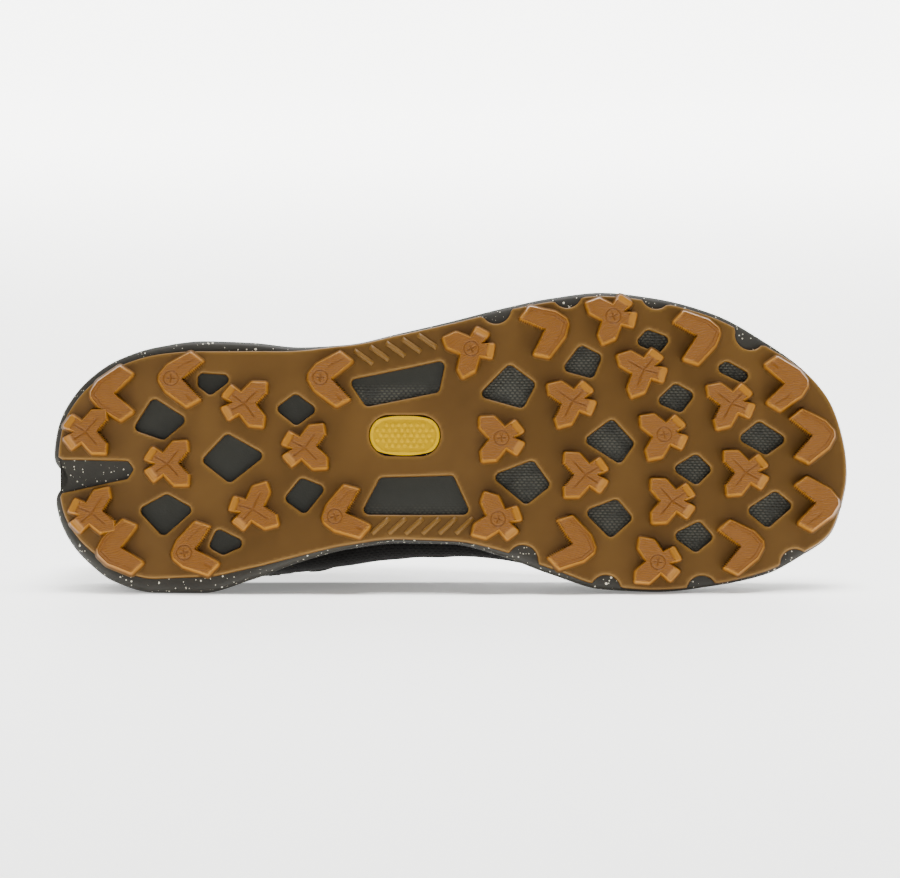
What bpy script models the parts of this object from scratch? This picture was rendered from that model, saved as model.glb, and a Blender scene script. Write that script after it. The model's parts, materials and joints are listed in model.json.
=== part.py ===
# Trail running shoe, right foot, built in a shoe frame and then laid on its medial side.
# Shoe frame: x runs from heel (0) to toe, y is positive to the medial side, z is up from the
# ground that the lugs stand on. All lengths are in metres.

import math

import bpy
import bmesh
import numpy as np
from mathutils import Matrix, Vector

# Driving dimensions
SHOE_LENGTH = 0.300
BALL_WIDTH = 0.112
QUARTER_HEIGHT = 0.067
HEEL_BEVEL = 0.009
TOE_SPRING = 0.021
ARCH_HEIGHT = 0.003
FOAM_THICK = 0.0235
GAP = 0.0003

# Outsole
LUG_HEIGHT = 0.0045
LUG_DRAFT = 0.0008
SHEET_THICK = 0.0022
CROSS_LENGTH = 0.0165
CROSS_WIDTH = 0.0166
CHEVRON_LENGTH = 0.0161
CHEVRON_WIDTH = 0.0204
SCALLOP_RADIUS = 0.0058
BADGE_LENGTH = 0.0270
BADGE_WIDTH = 0.0156
BADGE_THICK = 0.0016
SHANK_RIB_WIDTH = 0.0016
SHANK_RIB_LENGTH = 0.0090
SHANK_RIB_HEIGHT = 0.0012

# Midsole
SIDE_GROOVE = 0.0014
LIP_HEIGHT = 0.0040
LIP_WIDTH = 0.0030
HEEL_NOTCH_WIDTH = 0.0110
HEEL_NOTCH_DEPTH = 0.0040
HEEL_NOTCH_SHARE = 0.35

# Upper and what is on it
UPPER_WALL = 0.0022
OVERLAY_THICK = 0.0010
LIP_CLEARANCE = 0.0014
INSOLE_THICK = 0.0040
EYELET_RADIUS = 0.0021
EYELET_INSET = 0.0070
EYELET_PAIRS = 6
TONGUE_THICK = 0.0040
TONGUE_TOP_WIDTH = 0.0420
TONGUE_RISE = 0.0280
TONGUE_LEAN = 0.0170
TONGUE_TUCK = 0.0120
LACE_WIDTH = 0.0050
LACE_THICK = 0.0015
LACE_CLEARANCE = 0.0010

# Shape of the tongue's free end and of the laces, as shares
TONGUE_STEPS = ((0.3, 0.78), (1.0, 1.0))
TONGUE_CROWN = 0.22
LACE_OVERRUN = 0.12
LACE_EDGE = 0.20
THROAT_EDGE = 0.99
TONGUE_EDGE = 0.995

# Where curves start and end, as shares of the length
HEEL_LIFT_END = 0.20
BALL_ROCK_START = 0.62
ARCH_MIDDLE = 0.445
ARCH_REACH = 0.13
THROAT_END = 0.71
EYELET_FIRST = 0.42
EYELET_LAST = 0.665

# Counts
THROAT_STEPS = 20
VAMP_STEPS = 10
WALL_STEPS = 8
SIDE_STEPS = THROAT_STEPS + VAMP_STEPS

# Small step for slopes along the sole
SLOPE_STEP = 0.001

# Densities used for the balance point, in kg per cubic metre
DENSITY = {"outsole": 1100.0, "midsole": 160.0, "badge_inset": 1100.0}
SOFT_DENSITY = 300.0

LATERAL = -1.0
MEDIAL = 1.0

# Plan of the sole: half widths and insets as shares of BALL_WIDTH.
# gum_* is how far the rubber stays inside the foam, lip_* how far the foam narrows to its top.
PLAN_COLUMNS = ("along", "lateral", "medial", "gum_lateral", "gum_medial", "lip_lateral", "lip_medial")
PLAN = (
    (0.000, 0.000, 0.000, 0.018, 0.018, 0.030, 0.030),
    (0.006, 0.142, 0.150, 0.018, 0.020, 0.032, 0.032),
    (0.020, 0.222, 0.240, 0.020, 0.028, 0.040, 0.040),
    (0.045, 0.300, 0.320, 0.024, 0.036, 0.055, 0.055),
    (0.080, 0.362, 0.388, 0.027, 0.042, 0.068, 0.070),
    (0.130, 0.405, 0.424, 0.031, 0.046, 0.078, 0.080),
    (0.190, 0.425, 0.425, 0.040, 0.052, 0.080, 0.082),
    (0.250, 0.420, 0.381, 0.034, 0.038, 0.070, 0.065),
    (0.310, 0.405, 0.322, 0.017, 0.020, 0.050, 0.040),
    (0.370, 0.415, 0.276, 0.008, 0.012, 0.035, 0.018),
    (0.435, 0.455, 0.248, 0.010, 0.006, 0.028, 0.008),
    (0.500, 0.495, 0.252, 0.012, 0.004, 0.028, 0.008),
    (0.565, 0.538, 0.300, 0.014, 0.016, 0.030, 0.015),
    (0.625, 0.572, 0.360, 0.016, 0.018, 0.033, 0.020),
    (0.690, 0.592, 0.410, 0.016, 0.012, 0.035, 0.025),
    (0.755, 0.575, 0.417, 0.016, 0.006, 0.035, 0.028),
    (0.830, 0.525, 0.394, 0.016, 0.006, 0.035, 0.030),
    (0.895, 0.435, 0.353, 0.014, 0.010, 0.040, 0.040),
    (0.942, 0.349, 0.285, 0.006, 0.006, 0.045, 0.045),
    (0.978, 0.240, 0.212, 0.004, 0.004, 0.045, 0.045),
    (0.996, 0.100, 0.080, 0.004, 0.004, 0.045, 0.045),
    (1.000, 0.000, 0.000, 0.004, 0.004, 0.045, 0.045),
)

# Foam between rubber and footbed, as a share of FOAM_THICK
FOAM_COLUMNS = ("along", "thick")
FOAM = (
    (0.00, 0.64),
    (0.10, 0.92),
    (0.20, 1.00),
    (0.45, 0.79),
    (0.62, 0.75),
    (0.70, 0.70),
    (0.85, 0.47),
    (0.93, 0.32),
    (1.00, 0.20),
)

# Side wall of the foam from bottom to top: share of the lip inset, share of SIDE_GROOVE
# and share of the wall's height
SIDE_COLUMNS = ("lip", "groove", "height")
SIDE = (
    (0.00, 1.0, 0.00),
    (0.00, 0.0, 0.14),
    (0.22, 0.0, 0.40),
    (0.28, 1.0, 0.47),
    (0.34, 1.0, 0.54),
    (0.42, 0.0, 0.60),
    (0.85, 0.0, 0.90),
    (1.00, 0.0, 1.00),
)

# Ribs of the upper. foot and top are shares of SHOE_LENGTH where a rib starts and ends, half is
# the opening's half width and ridge its middle in shares of BALL_WIDTH, height is the rib's top
# above the footbed in shares of QUARTER_HEIGHT. lift, belly_*, shoulder and drop shape its curve.
UPPER_COLUMNS = ("foot", "top", "half", "ridge", "height", "lift", "belly_lateral", "belly_medial",
                 "shoulder", "drop")
UPPER = (
    (0.00, 0.036, 0.000, 0.000, 1.000, 0.35, 0.040, 0.040, 0.25, 0.35),
    (0.03, 0.052, 0.115, 0.000, 0.980, 0.35, 0.050, 0.050, 0.25, 0.35),
    (0.07, 0.086, 0.215, 0.000, 0.890, 0.35, 0.060, 0.060, 0.25, 0.35),
    (0.13, 0.136, 0.285, 0.000, 0.770, 0.35, 0.070, 0.075, 0.25, 0.30),
    (0.20, 0.200, 0.315, 0.000, 0.720, 0.38, 0.070, 0.085, 0.25, 0.30),
    (0.27, 0.270, 0.315, 0.000, 0.720, 0.38, 0.050, 0.110, 0.25, 0.30),
    (0.33, 0.325, 0.280, 0.005, 0.820, 0.36, 0.040, 0.140, 0.25, 0.30),
    (0.38, 0.375, 0.220, 0.010, 0.960, 0.34, 0.040, 0.160, 0.30, 0.25),
    (0.41, 0.400, 0.185, 0.010, 1.000, 0.34, 0.040, 0.165, 0.35, 0.20),
    (0.49, 0.470, 0.165, 0.010, 0.900, 0.36, 0.040, 0.150, 0.45, 0.12),
    (0.57, 0.550, 0.155, 0.000, 0.770, 0.40, 0.040, 0.090, 0.50, 0.08),
    (0.65, 0.640, 0.125, -0.010, 0.655, 0.46, 0.040, 0.045, 0.55, 0.05),
    (0.69, 0.688, 0.065, -0.018, 0.590, 0.48, 0.040, 0.035, 0.58, 0.02),
    (0.71, 0.705, 0.000, -0.020, 0.570, 0.50, 0.040, 0.030, 0.60, 0.00),
    (0.79, 0.765, 0.000, -0.030, 0.500, 0.52, 0.040, 0.030, 0.60, 0.00),
    (0.87, 0.830, 0.000, -0.035, 0.430, 0.55, 0.040, 0.030, 0.60, 0.00),
    (0.94, 0.885, 0.000, -0.030, 0.360, 0.60, 0.040, 0.040, 0.60, 0.00),
    (1.00, 0.930, 0.000, -0.020, 0.300, 0.65, 0.040, 0.040, 0.60, 0.00),
)

# Half outlines of the lugs as shares of their length and width, from the short arms or the point
# back to the long arms. The other half is the mirror image.
LUG_SIZES = {"cross": (CROSS_LENGTH, CROSS_WIDTH), "chevron": (CHEVRON_LENGTH, CHEVRON_WIDTH)}
LUG_HALVES = {
    "cross": ((0.250, 0.00), (0.500, 0.14), (0.330, 0.38), (0.090, 0.22), (-0.145, 0.49),
              (-0.465, 0.50), (-0.480, 0.27), (-0.255, 0.00)),
    "chevron": ((0.200, 0.05), (0.025, 0.24), (-0.490, 0.50), (-0.795, 0.35), (-0.320, 0.00)),
}

# Main lugs: centre as shares of SHOE_LENGTH and BALL_WIDTH, and the turn of a cross's short arms
# or of a chevron's point, in degrees from the toe towards the lateral side
LUG_COLUMNS = ("kind", "along", "across", "turn")
LUGS = (
    ("cross", 0.525, -0.393, 26),
    ("cross", 0.703, -0.505, 22),
    ("cross", 0.741, -0.325, 19),
    ("cross", 0.652, -0.217, 14),
    ("cross", 0.563, -0.092, 3),
    ("cross", 0.668, 0.031, 0),
    ("cross", 0.559, 0.180, -16),
    ("cross", 0.767, -0.108, 11),
    ("cross", 0.777, 0.115, 1),
    ("cross", 0.852, -0.217, 13),
    ("cross", 0.870, 0.014, 4),
    ("cross", 0.759, 0.322, -6),
    ("cross", 0.042, -0.115, 180),
    ("cross", 0.145, -0.004, 182),
    ("cross", 0.241, -0.207, 176),
    ("cross", 0.252, 0.149, 196),
    ("cross", 0.317, -0.058, 185),
    ("cross", 0.050, 0.159, 189),
    ("chevron", 0.635, -0.475, 21),
    ("chevron", 0.826, -0.454, 15),
    ("chevron", 0.938, -0.292, 3),
    ("chevron", 0.972, -0.122, 7),
    ("chevron", 0.977, 0.108, 5),
    ("chevron", 0.881, 0.258, 8),
    ("chevron", 0.669, 0.275, -14),
    ("chevron", 0.145, -0.292, 176),
    ("chevron", 0.059, -0.241, 181),
    ("chevron", 0.332, -0.295, 176),
    ("chevron", 0.351, 0.176, 197),
    ("chevron", 0.163, 0.298, 194),
    ("chevron", 0.069, 0.286, 190),
)

# Windows in the rubber, by their corners (along, across)
WINDOWS = {
    "heel_a": ((0.182, -0.315), (0.233, -0.305), (0.198, -0.234), (0.182, -0.268)),
    "heel_b": ((0.126, -0.234), (0.171, -0.156), (0.140, -0.085), (0.100, -0.122)),
    "heel_c": ((0.219, -0.112), (0.269, -0.037), (0.223, 0.061), (0.186, -0.017)),
    "heel_d": ((0.144, 0.092), (0.180, 0.146), (0.140, 0.241), (0.107, 0.146)),
    "heel_e": ((0.207, 0.207), (0.248, 0.261), (0.215, 0.302), (0.196, 0.275)),
    "waist_a": ((0.305, -0.247), (0.334, -0.190), (0.306, -0.132), (0.278, -0.193)),
    "waist_b": ((0.312, 0.037), (0.345, 0.071), (0.317, 0.166), (0.290, 0.112)),
    "shank_lateral": ((0.370, -0.292), (0.494, -0.363), (0.485, -0.251), (0.393, -0.200)),
    "shank_medial": ((0.411, 0.034), (0.503, 0.027), (0.526, 0.163), (0.386, 0.163)),
    "fore_a": ((0.532, -0.237), (0.573, -0.349), (0.607, -0.281), (0.590, -0.193)),
    "fore_b": ((0.637, -0.325), (0.662, -0.414), (0.690, -0.376), (0.678, -0.295)),
    "fore_c": ((0.729, -0.417), (0.746, -0.468), (0.777, -0.437), (0.761, -0.383)),
    "fore_d": ((0.828, -0.336), (0.846, -0.366), (0.877, -0.322), (0.867, -0.288)),
    "fore_e": ((0.664, -0.088), (0.702, -0.166), (0.731, -0.081), (0.712, -0.007)),
    "fore_f": ((0.549, 0.031), (0.603, -0.024), (0.626, 0.064), (0.594, 0.132)),
    "fore_g": ((0.665, 0.149), (0.708, 0.105), (0.729, 0.173), (0.700, 0.244)),
    "fore_h": ((0.755, -0.220), (0.781, -0.288), (0.807, -0.251), (0.789, -0.183)),
    "fore_i": ((0.775, 0.003), (0.808, -0.051), (0.829, 0.003), (0.808, 0.061)),
    "fore_j": ((0.775, 0.227), (0.812, 0.176), (0.831, 0.234), (0.807, 0.288)),
    "fore_k": ((0.858, -0.102), (0.887, -0.166), (0.925, -0.105), (0.896, -0.047)),
    "fore_l": ((0.869, 0.139), (0.908, 0.068), (0.932, 0.119), (0.898, 0.200)),
}

# Bites out of the rubber's edge, by their centres (along, across)
SCALLOPS = (
    (0.556, -0.532),
    (0.645, -0.586),
    (0.757, -0.586),
    (0.876, -0.454),
    (0.590, 0.314),
    (0.694, 0.414),
    (0.815, 0.412),
    (0.933, 0.316),
)

# Tongue rows inside the throat: rib (along) and share of TONGUE_TUCK that goes under the edge
TONGUE_ROWS = (
    (0.730, 1.0),
    (0.695, 1.0),
    (0.655, 1.0),
    (0.600, 1.0),
    (0.550, 1.0),
    (0.500, 1.0),
    (0.455, 0.8),
    (0.420, 0.3),
)

# Slot in the rubber at the heel, middle of the yellow inset and middle of the foam's heel notch
HEEL_SLOT = ((-0.010, -0.030), (0.095, -0.019), (0.103, 0.010), (0.095, 0.044), (-0.010, 0.100))
BADGE_CENTRE = (0.442, -0.105)
NOTCH_ACROSS = 0.030

# Raised ribs on the shank: first centre (along, across), step along, number and turn in degrees
SHANK_RIBS = (
    {"first": (0.390, -0.368), "step": (0.0200, -0.0138), "count": 5, "turn": 35},
    {"first": (0.412, 0.200), "step": (0.0210, 0.000), "count": 6, "turn": -42},
)


def column(table, columns, name):
    return np.array([row[columns.index(name)] for row in table], dtype=float)


def smooth_curve(stations, values, at):
    """Monotone cubic through the stations, so that it never swings past a value."""
    at = np.clip(np.asarray(at, dtype=float), stations[0], stations[-1])
    step = np.diff(stations)
    slope = np.diff(values) / step
    tangent = np.zeros(len(stations))
    inner = slope[:-1] * slope[1:] > 0
    mean = 2 * slope[:-1] * slope[1:] / np.where(inner, slope[:-1] + slope[1:], 1)
    tangent[1:-1] = np.where(inner, mean, 0)
    tangent[0] = slope[0]
    tangent[-1] = slope[-1]
    cell = np.clip(np.searchsorted(stations, at, side="right") - 1, 0, len(step) - 1)
    width = step[cell]
    u = (at - stations[cell]) / width
    start, end = values[cell], values[cell + 1]
    leave, arrive = tangent[cell] * width, tangent[cell + 1] * width
    return ((2 * u**3 - 3 * u**2 + 1) * start + (u**3 - 2 * u**2 + u) * leave
            + (3 * u**2 - 2 * u**3) * end + (u**3 - u**2) * arrive)


def turn_of(along):
    """Parameter from 0 at the heel to 1 at the toe that gives the plan round ends."""
    return np.arccos(1 - 2 * np.clip(along, 0, 1)) / math.pi


def along_of(turn):
    return (1 - np.cos(math.pi * np.asarray(turn, dtype=float))) / 2


def plan_value(name, turn):
    stations = turn_of(column(PLAN, PLAN_COLUMNS, "along"))
    return smooth_curve(stations, column(PLAN, PLAN_COLUMNS, name), turn)


def upper_value(name, turn):
    stations = turn_of(column(UPPER, UPPER_COLUMNS, "foot"))
    return smooth_curve(stations, column(UPPER, UPPER_COLUMNS, name), turn)


def side_name(side):
    return "lateral" if side == LATERAL else "medial"


def ground_rise(x):
    """Height of the lug faces: flat from heel to ball, curving up at both ends."""
    along = np.asarray(x, dtype=float) / SHOE_LENGTH
    heel = np.maximum(0, 1 - along / HEEL_LIFT_END) ** 2
    toe = np.maximum(0, (along - BALL_ROCK_START) / (1 - BALL_ROCK_START)) ** 2
    return HEEL_BEVEL * heel + TOE_SPRING * toe


def sheet_bottom(x):
    along = np.asarray(x, dtype=float) / SHOE_LENGTH
    reach = np.clip(np.abs(along - ARCH_MIDDLE) / ARCH_REACH, 0, 1)
    return ground_rise(x) + LUG_HEIGHT + ARCH_HEIGHT * np.cos(reach * math.pi / 2) ** 2


def sheet_top(x):
    return sheet_bottom(x) + SHEET_THICK


def foam_bottom(x):
    return sheet_top(x) + GAP


def seat(x):
    """Top of the foam, on which the upper and the insole stand."""
    along = np.asarray(x, dtype=float) / SHOE_LENGTH
    share = smooth_curve(column(FOAM, FOAM_COLUMNS, "along"), column(FOAM, FOAM_COLUMNS, "thick"), along)
    return foam_bottom(x) + FOAM_THICK * share


def plan_point(turn, side, inset):
    """Point of the sole's outline, moved inwards by inset along the outline's own normal."""
    turn = np.asarray(turn, dtype=float)

    def place(at):
        half = plan_value(side_name(side), at) * BALL_WIDTH
        return SHOE_LENGTH * along_of(at), side * half

    step = 0.002
    before, after = np.clip(turn - step, 0, 1), np.clip(turn + step, 0, 1)
    x, y = place(turn)
    dx, dy = place(after)[0] - place(before)[0], place(after)[1] - place(before)[1]
    ends = (turn < step / 2) | (turn > 1 - step / 2)
    dx = np.where(ends, 0, dx)
    size = np.hypot(dx, dy)
    return x + side * dy / size * inset, y - side * dx / size * inset


def side_turns():
    """Rib positions from heel to toe, with one exactly at the end of the throat."""
    throat = float(turn_of(THROAT_END))
    rear = np.linspace(0, throat, THROAT_STEPS + 1)
    front = np.linspace(throat, 1, VAMP_STEPS + 1)
    return np.concatenate([rear, front[1:]])


TURNS = side_turns()


def ring(inset_lateral, inset_medial, height):
    """Closed loop round the sole: heel, lateral side, toe, medial side."""
    x_lateral, y_lateral = plan_point(TURNS, LATERAL, inset_lateral)
    x_medial, y_medial = plan_point(TURNS, MEDIAL, inset_medial)
    x = np.concatenate([x_lateral, x_medial[-2:0:-1]])
    y = np.concatenate([y_lateral, y_medial[-2:0:-1]])
    return np.column_stack([x, y, height(x)])


def ladder(offset, flip):
    """Faces of a cap over one loop, as rungs between the lateral and the medial side."""
    count = 2 * SIDE_STEPS
    faces = []
    for step in range(SIDE_STEPS):
        left, right = step, (count - step) % count
        next_left, next_right = step + 1, count - step - 1
        corners = [left, next_left, next_right, right]
        face = [offset + corner for corner in dict.fromkeys(corners)]
        faces.append(face[::-1] if flip else face)
    return faces


def loft_rings(rings):
    count = 2 * SIDE_STEPS
    faces = ladder(0, False) + ladder((len(rings) - 1) * count, True)
    for level in range(len(rings) - 1):
        low, high = level * count, (level + 1) * count
        for step in range(count):
            after = (step + 1) % count
            faces.append([low + after, low + step, high + step, high + after])
    return np.concatenate(rings), faces


def make_mesh(name, points, faces):
    mesh = bpy.data.meshes.new(name)
    mesh.from_pydata([tuple(point) for point in points], [], faces)
    mesh.update()
    return mesh


def face_out(mesh):
    """Flat triangles that all point outwards, so that Booleans have true planes to cut."""
    work = bmesh.new()
    work.from_mesh(mesh)
    bmesh.ops.triangulate(work, faces=work.faces)
    bmesh.ops.recalc_face_normals(work, faces=work.faces)
    work.to_mesh(mesh)
    work.free()


def round_shading(mesh, degrees=35):
    mesh.shade_smooth()
    mesh.set_sharp_from_angle(angle=math.radians(degrees))


def add_part(name, mesh, material):
    part = bpy.data.objects.new(name, mesh)
    mesh.materials.append(material)
    shoe_parts.objects.link(part)
    part.parent = shoe_frame
    return part


def add_cutter(name, mesh):
    cutter = bpy.data.objects.new(name, mesh)
    cutters.objects.link(cutter)
    cutter.parent = shoe_frame
    cutter.hide_render = True
    cutter.display_type = "WIRE"
    return cutter


def boolean(part, operation, cutter, blanks_meet=False):
    modifier = part.modifiers.new(operation.lower(), "BOOLEAN")
    modifier.operation = operation
    modifier.solver = "EXACT"
    modifier.use_self = blanks_meet
    modifier.object = cutter


def solidify(part, thickness, outwards):
    modifier = part.modifiers.new("wall", "SOLIDIFY")
    modifier.thickness = thickness
    modifier.offset = 1.0 if outwards else -1.0
    modifier.use_even_offset = True


def plain_material(name, colour, roughness):
    material = bpy.data.materials.new(name)
    material.use_nodes = True
    shader = material.node_tree.nodes["Principled BSDF"]
    shader.inputs["Base Color"].default_value = (*colour, 1)
    shader.inputs["Roughness"].default_value = roughness
    shader.inputs["Metallic"].default_value = 0
    return material


def prisms(name, outlines):
    """Upright prisms over closed outlines, each given as its low points and its high points."""
    work = bmesh.new()
    for low, high in outlines:
        floor = [work.verts.new(point) for point in low]
        roof = [work.verts.new(point) for point in high]
        work.faces.new(floor)
        work.faces.new(roof)
        for start in range(len(floor)):
            end = (start + 1) % len(floor)
            work.faces.new((floor[start], floor[end], roof[end], roof[start]))
    bmesh.ops.triangulate(work, faces=work.faces)
    bmesh.ops.recalc_face_normals(work, faces=work.faces)
    mesh = bpy.data.meshes.new(name)
    work.to_mesh(mesh)
    work.free()
    return mesh


def through_cut(outline):
    """Low and high points of a prism that runs right through the rubber."""
    low = [(x, y, -LUG_HEIGHT) for x, y in outline]
    high = [(x, y, float(sheet_top(SHOE_LENGTH)) + LUG_HEIGHT) for x, y in outline]
    return low, high


def from_shares(corners):
    return [(SHOE_LENGTH * along, BALL_WIDTH * across) for along, across in corners]


def lug_outline(kind):
    """Closed outline about the lug's centre: its half outline and the mirror image of that."""
    half = np.array(LUG_HALVES[kind]) * LUG_SIZES[kind]
    other = half[half[:, 1] > 0][::-1] * (1, -1)
    return np.concatenate([half, other])


def grow(outline, distance):
    """The outline with every edge moved outwards by the same distance."""
    edges = np.roll(outline, -1, axis=0) - outline
    normals = np.column_stack([edges[:, 1], -edges[:, 0]]) / np.linalg.norm(edges, axis=1)[:, None]
    before = np.roll(normals, 1, axis=0)
    mitre = (normals + before) / (1 + np.sum(normals * before, axis=1))[:, None]
    return outline + mitre * distance


def lug_outlines():
    outlines = []
    for row in LUGS:
        kind, along, across, turn = (row[LUG_COLUMNS.index(name)] for name in LUG_COLUMNS)
        centre = np.array([SHOE_LENGTH * along, BALL_WIDTH * across])
        angle = math.radians(turn)
        spin = np.array([[math.cos(angle), -math.sin(angle)], [-math.sin(angle), -math.cos(angle)]])
        slope = (ground_rise(centre[0] + SLOPE_STEP) - ground_rise(centre[0] - SLOPE_STEP)) / (2 * SLOPE_STEP)
        face = lug_outline(kind) @ spin.T + centre
        root = grow(lug_outline(kind), LUG_DRAFT) @ spin.T + centre
        ground = ground_rise(centre[0])
        low = [(x, y, ground + slope * (x - centre[0])) for x, y in face]
        high = [(x, y, float(sheet_bottom(x)) + SHEET_THICK / 2) for x, y in root]
        outlines.append((low, high))
    return outlines


def rib_outlines():
    outlines = []
    for row in SHANK_RIBS:
        angle = math.radians(row["turn"])
        run = np.array([math.cos(angle), math.sin(angle)]) * SHANK_RIB_LENGTH / 2
        side = np.array([-math.sin(angle), math.cos(angle)]) * SHANK_RIB_WIDTH / 2
        for number in range(row["count"]):
            along = row["first"][0] + number * row["step"][0]
            across = row["first"][1] + number * row["step"][1]
            centre = np.array([SHOE_LENGTH * along, BALL_WIDTH * across])
            corners = [centre - run - side, centre + run - side, centre + run + side, centre - run + side]
            low = [(x, y, float(sheet_bottom(x)) - SHANK_RIB_HEIGHT) for x, y in corners]
            high = [(x, y, float(sheet_bottom(x)) + SHEET_THICK / 2) for x, y in corners]
            outlines.append((low, high))
    return outlines


def stadium(centre, length, width, steps=8):
    """Outline with two straight sides and two half circles."""
    radius = width / 2
    straight = (length - width) / 2
    points = []
    for end, first in ((1, -math.pi / 2), (-1, math.pi / 2)):
        for number in range(steps + 1):
            angle = first + math.pi * number / steps
            points.append((centre[0] + end * straight + radius * math.cos(angle),
                           centre[1] + radius * math.sin(angle)))
    return points


def scallop_mesh():
    work = bmesh.new()
    height = float(sheet_top(SHOE_LENGTH)) + 2 * LUG_HEIGHT
    for along, across in SCALLOPS:
        place = Matrix.Translation((SHOE_LENGTH * along, BALL_WIDTH * across, height / 2 - LUG_HEIGHT))
        bmesh.ops.create_cone(work, cap_ends=True, segments=16, radius1=SCALLOP_RADIUS,
                              radius2=SCALLOP_RADIUS, depth=height, matrix=place)
    mesh = bpy.data.meshes.new("scallops")
    work.to_mesh(mesh)
    work.free()
    return mesh


def build_outsole(rubber):
    """Curved rubber sheet with its windows and bites, and the lugs and shank ribs joined on."""
    gum_lateral = plan_value("gum_lateral", TURNS) * BALL_WIDTH
    gum_medial = plan_value("gum_medial", TURNS) * BALL_WIDTH
    rings = [ring(gum_lateral, gum_medial, sheet_bottom), ring(gum_lateral, gum_medial, sheet_top)]
    mesh = make_mesh("outsole", *loft_rings(rings))
    face_out(mesh)
    outsole = add_part("outsole", mesh, rubber)
    openings = [through_cut(from_shares(corners)) for corners in WINDOWS.values()]
    openings.append(through_cut(from_shares(HEEL_SLOT)))
    badge = from_shares([BADGE_CENTRE])[0]
    openings.append(through_cut(stadium(badge, BADGE_LENGTH, BADGE_WIDTH)))
    boolean(outsole, "DIFFERENCE", add_cutter("window_cutter", prisms("windows", openings)))
    boolean(outsole, "DIFFERENCE", add_cutter("scallop_cutter", scallop_mesh()))
    boolean(outsole, "UNION", add_cutter("lug_blanks", prisms("lugs", lug_outlines())), True)
    boolean(outsole, "UNION", add_cutter("rib_blanks", prisms("ribs", rib_outlines())))
    return outsole


def build_badge(paint):
    """Plain oval inset in the shank, between the foam and the rubber's face."""
    centre = from_shares([BADGE_CENTRE])[0]
    outline = stadium(centre, BADGE_LENGTH - 2 * GAP, BADGE_WIDTH - 2 * GAP)
    low = [(x, y, float(sheet_top(x)) - BADGE_THICK) for x, y in outline]
    high = [(x, y, float(sheet_top(x))) for x, y in outline]
    return add_part("badge_inset", prisms("badge_inset", [(low, high)]), paint)


def lip_inset(name, turn):
    return plan_value(name, turn) * BALL_WIDTH


def build_midsole(foam):
    """Foam loft: rounded foot, grooved side wall, lip round the upper and the seat inside it."""
    lip_lateral, lip_medial = lip_inset("lip_lateral", TURNS), lip_inset("lip_medial", TURNS)
    rings = []
    for lip, groove, height in SIDE:
        def level(x, share=height):
            low, high = foam_bottom(x), seat(x) + LIP_HEIGHT
            return low + (high - low) * share
        rings.append(ring(lip * lip_lateral + groove * SIDE_GROOVE,
                          lip * lip_medial + groove * SIDE_GROOVE, level))
    rings.append(ring(lip_lateral + LIP_WIDTH, lip_medial + LIP_WIDTH, lambda x: seat(x) + LIP_HEIGHT))
    rings.append(ring(lip_lateral + LIP_WIDTH, lip_medial + LIP_WIDTH, seat))
    mesh = make_mesh("midsole", *loft_rings(rings))
    face_out(mesh)
    round_shading(mesh)
    midsole = add_part("midsole", mesh, foam)
    middle = BALL_WIDTH * NOTCH_ACROSS
    half = HEEL_NOTCH_WIDTH / 2
    wedge = [(-HEEL_NOTCH_DEPTH, middle - half), (HEEL_NOTCH_DEPTH, middle - half / 2),
             (HEEL_NOTCH_DEPTH, middle + half / 2), (-HEEL_NOTCH_DEPTH, middle + half)]
    low = [(x, y, 0) for x, y in wedge]
    high = [(x, y, float(foam_bottom(0)) + FOAM_THICK * HEEL_NOTCH_SHARE) for x, y in wedge]
    boolean(midsole, "DIFFERENCE", add_cutter("heel_notch_cutter", prisms("heel_notch", [(low, high)])))
    return midsole


def feather(turn, side):
    """Where the upper's outer face meets the seat, just inside the foam's lip."""
    inset = lip_inset("lip_" + side_name(side), turn) + LIP_WIDTH + GAP
    return plan_point(turn, side, inset)


def rib_point(turn, side, share):
    """Point on the upper's outer face: a Bezier rib from above the lip to the top edge or ridge."""
    turn, share = np.broadcast_arrays(np.asarray(turn, dtype=float), np.asarray(share, dtype=float))
    foot_x, foot_y = feather(turn, side)
    foot_z = seat(foot_x) + LIP_HEIGHT + LIP_CLEARANCE
    top_x = SHOE_LENGTH * upper_value("top", turn)
    top_y = BALL_WIDTH * (upper_value("ridge", turn) + side * upper_value("half", turn))
    top_z = seat(top_x) + QUARTER_HEIGHT * upper_value("height", turn)
    out_x, out_y = plan_point(turn, side, 0)
    size = np.hypot(out_x - foot_x, out_y - foot_y)
    belly = BALL_WIDTH * upper_value("belly_" + side_name(side), turn)
    rise = top_z - foot_z
    low_x = foot_x + (out_x - foot_x) / size * belly
    low_y = foot_y + (out_y - foot_y) / size * belly
    low_z = foot_z + rise * upper_value("lift", turn)
    lean = upper_value("shoulder", turn)
    high_x = top_x + (foot_x - top_x) * lean
    high_y = top_y + (foot_y - top_y) * lean
    high_z = top_z - rise * upper_value("drop", turn)
    a, b = (1 - share) ** 3, 3 * share * (1 - share) ** 2
    c, d = 3 * share**2 * (1 - share), share**3
    return np.stack([a * foot_x + b * low_x + c * high_x + d * top_x,
                     a * foot_y + b * low_y + c * high_y + d * top_y,
                     a * foot_z + b * low_z + c * high_z + d * top_z], axis=-1)


def rib_normal(turn, side, share):
    """Outward normal of the upper, from small steps along and up the ribs."""
    step = 0.004
    ahead, behind = np.minimum(turn + step, 1), np.maximum(turn - step, 0)
    above, below = np.minimum(share + step, 1), np.maximum(share - step, 0)
    along = rib_point(ahead, side, share) - rib_point(behind, side, share)
    up = rib_point(turn, side, above) - rib_point(turn, side, below)
    normal = np.cross(along, up) * -side
    return normal / np.linalg.norm(normal, axis=-1, keepdims=True)


def off_rib(turn, side, share, depth):
    """Point at a depth outside (or, when negative, inside) the upper's outer face."""
    return rib_point(turn, side, share) + rib_normal(turn, side, share) * depth


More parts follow.
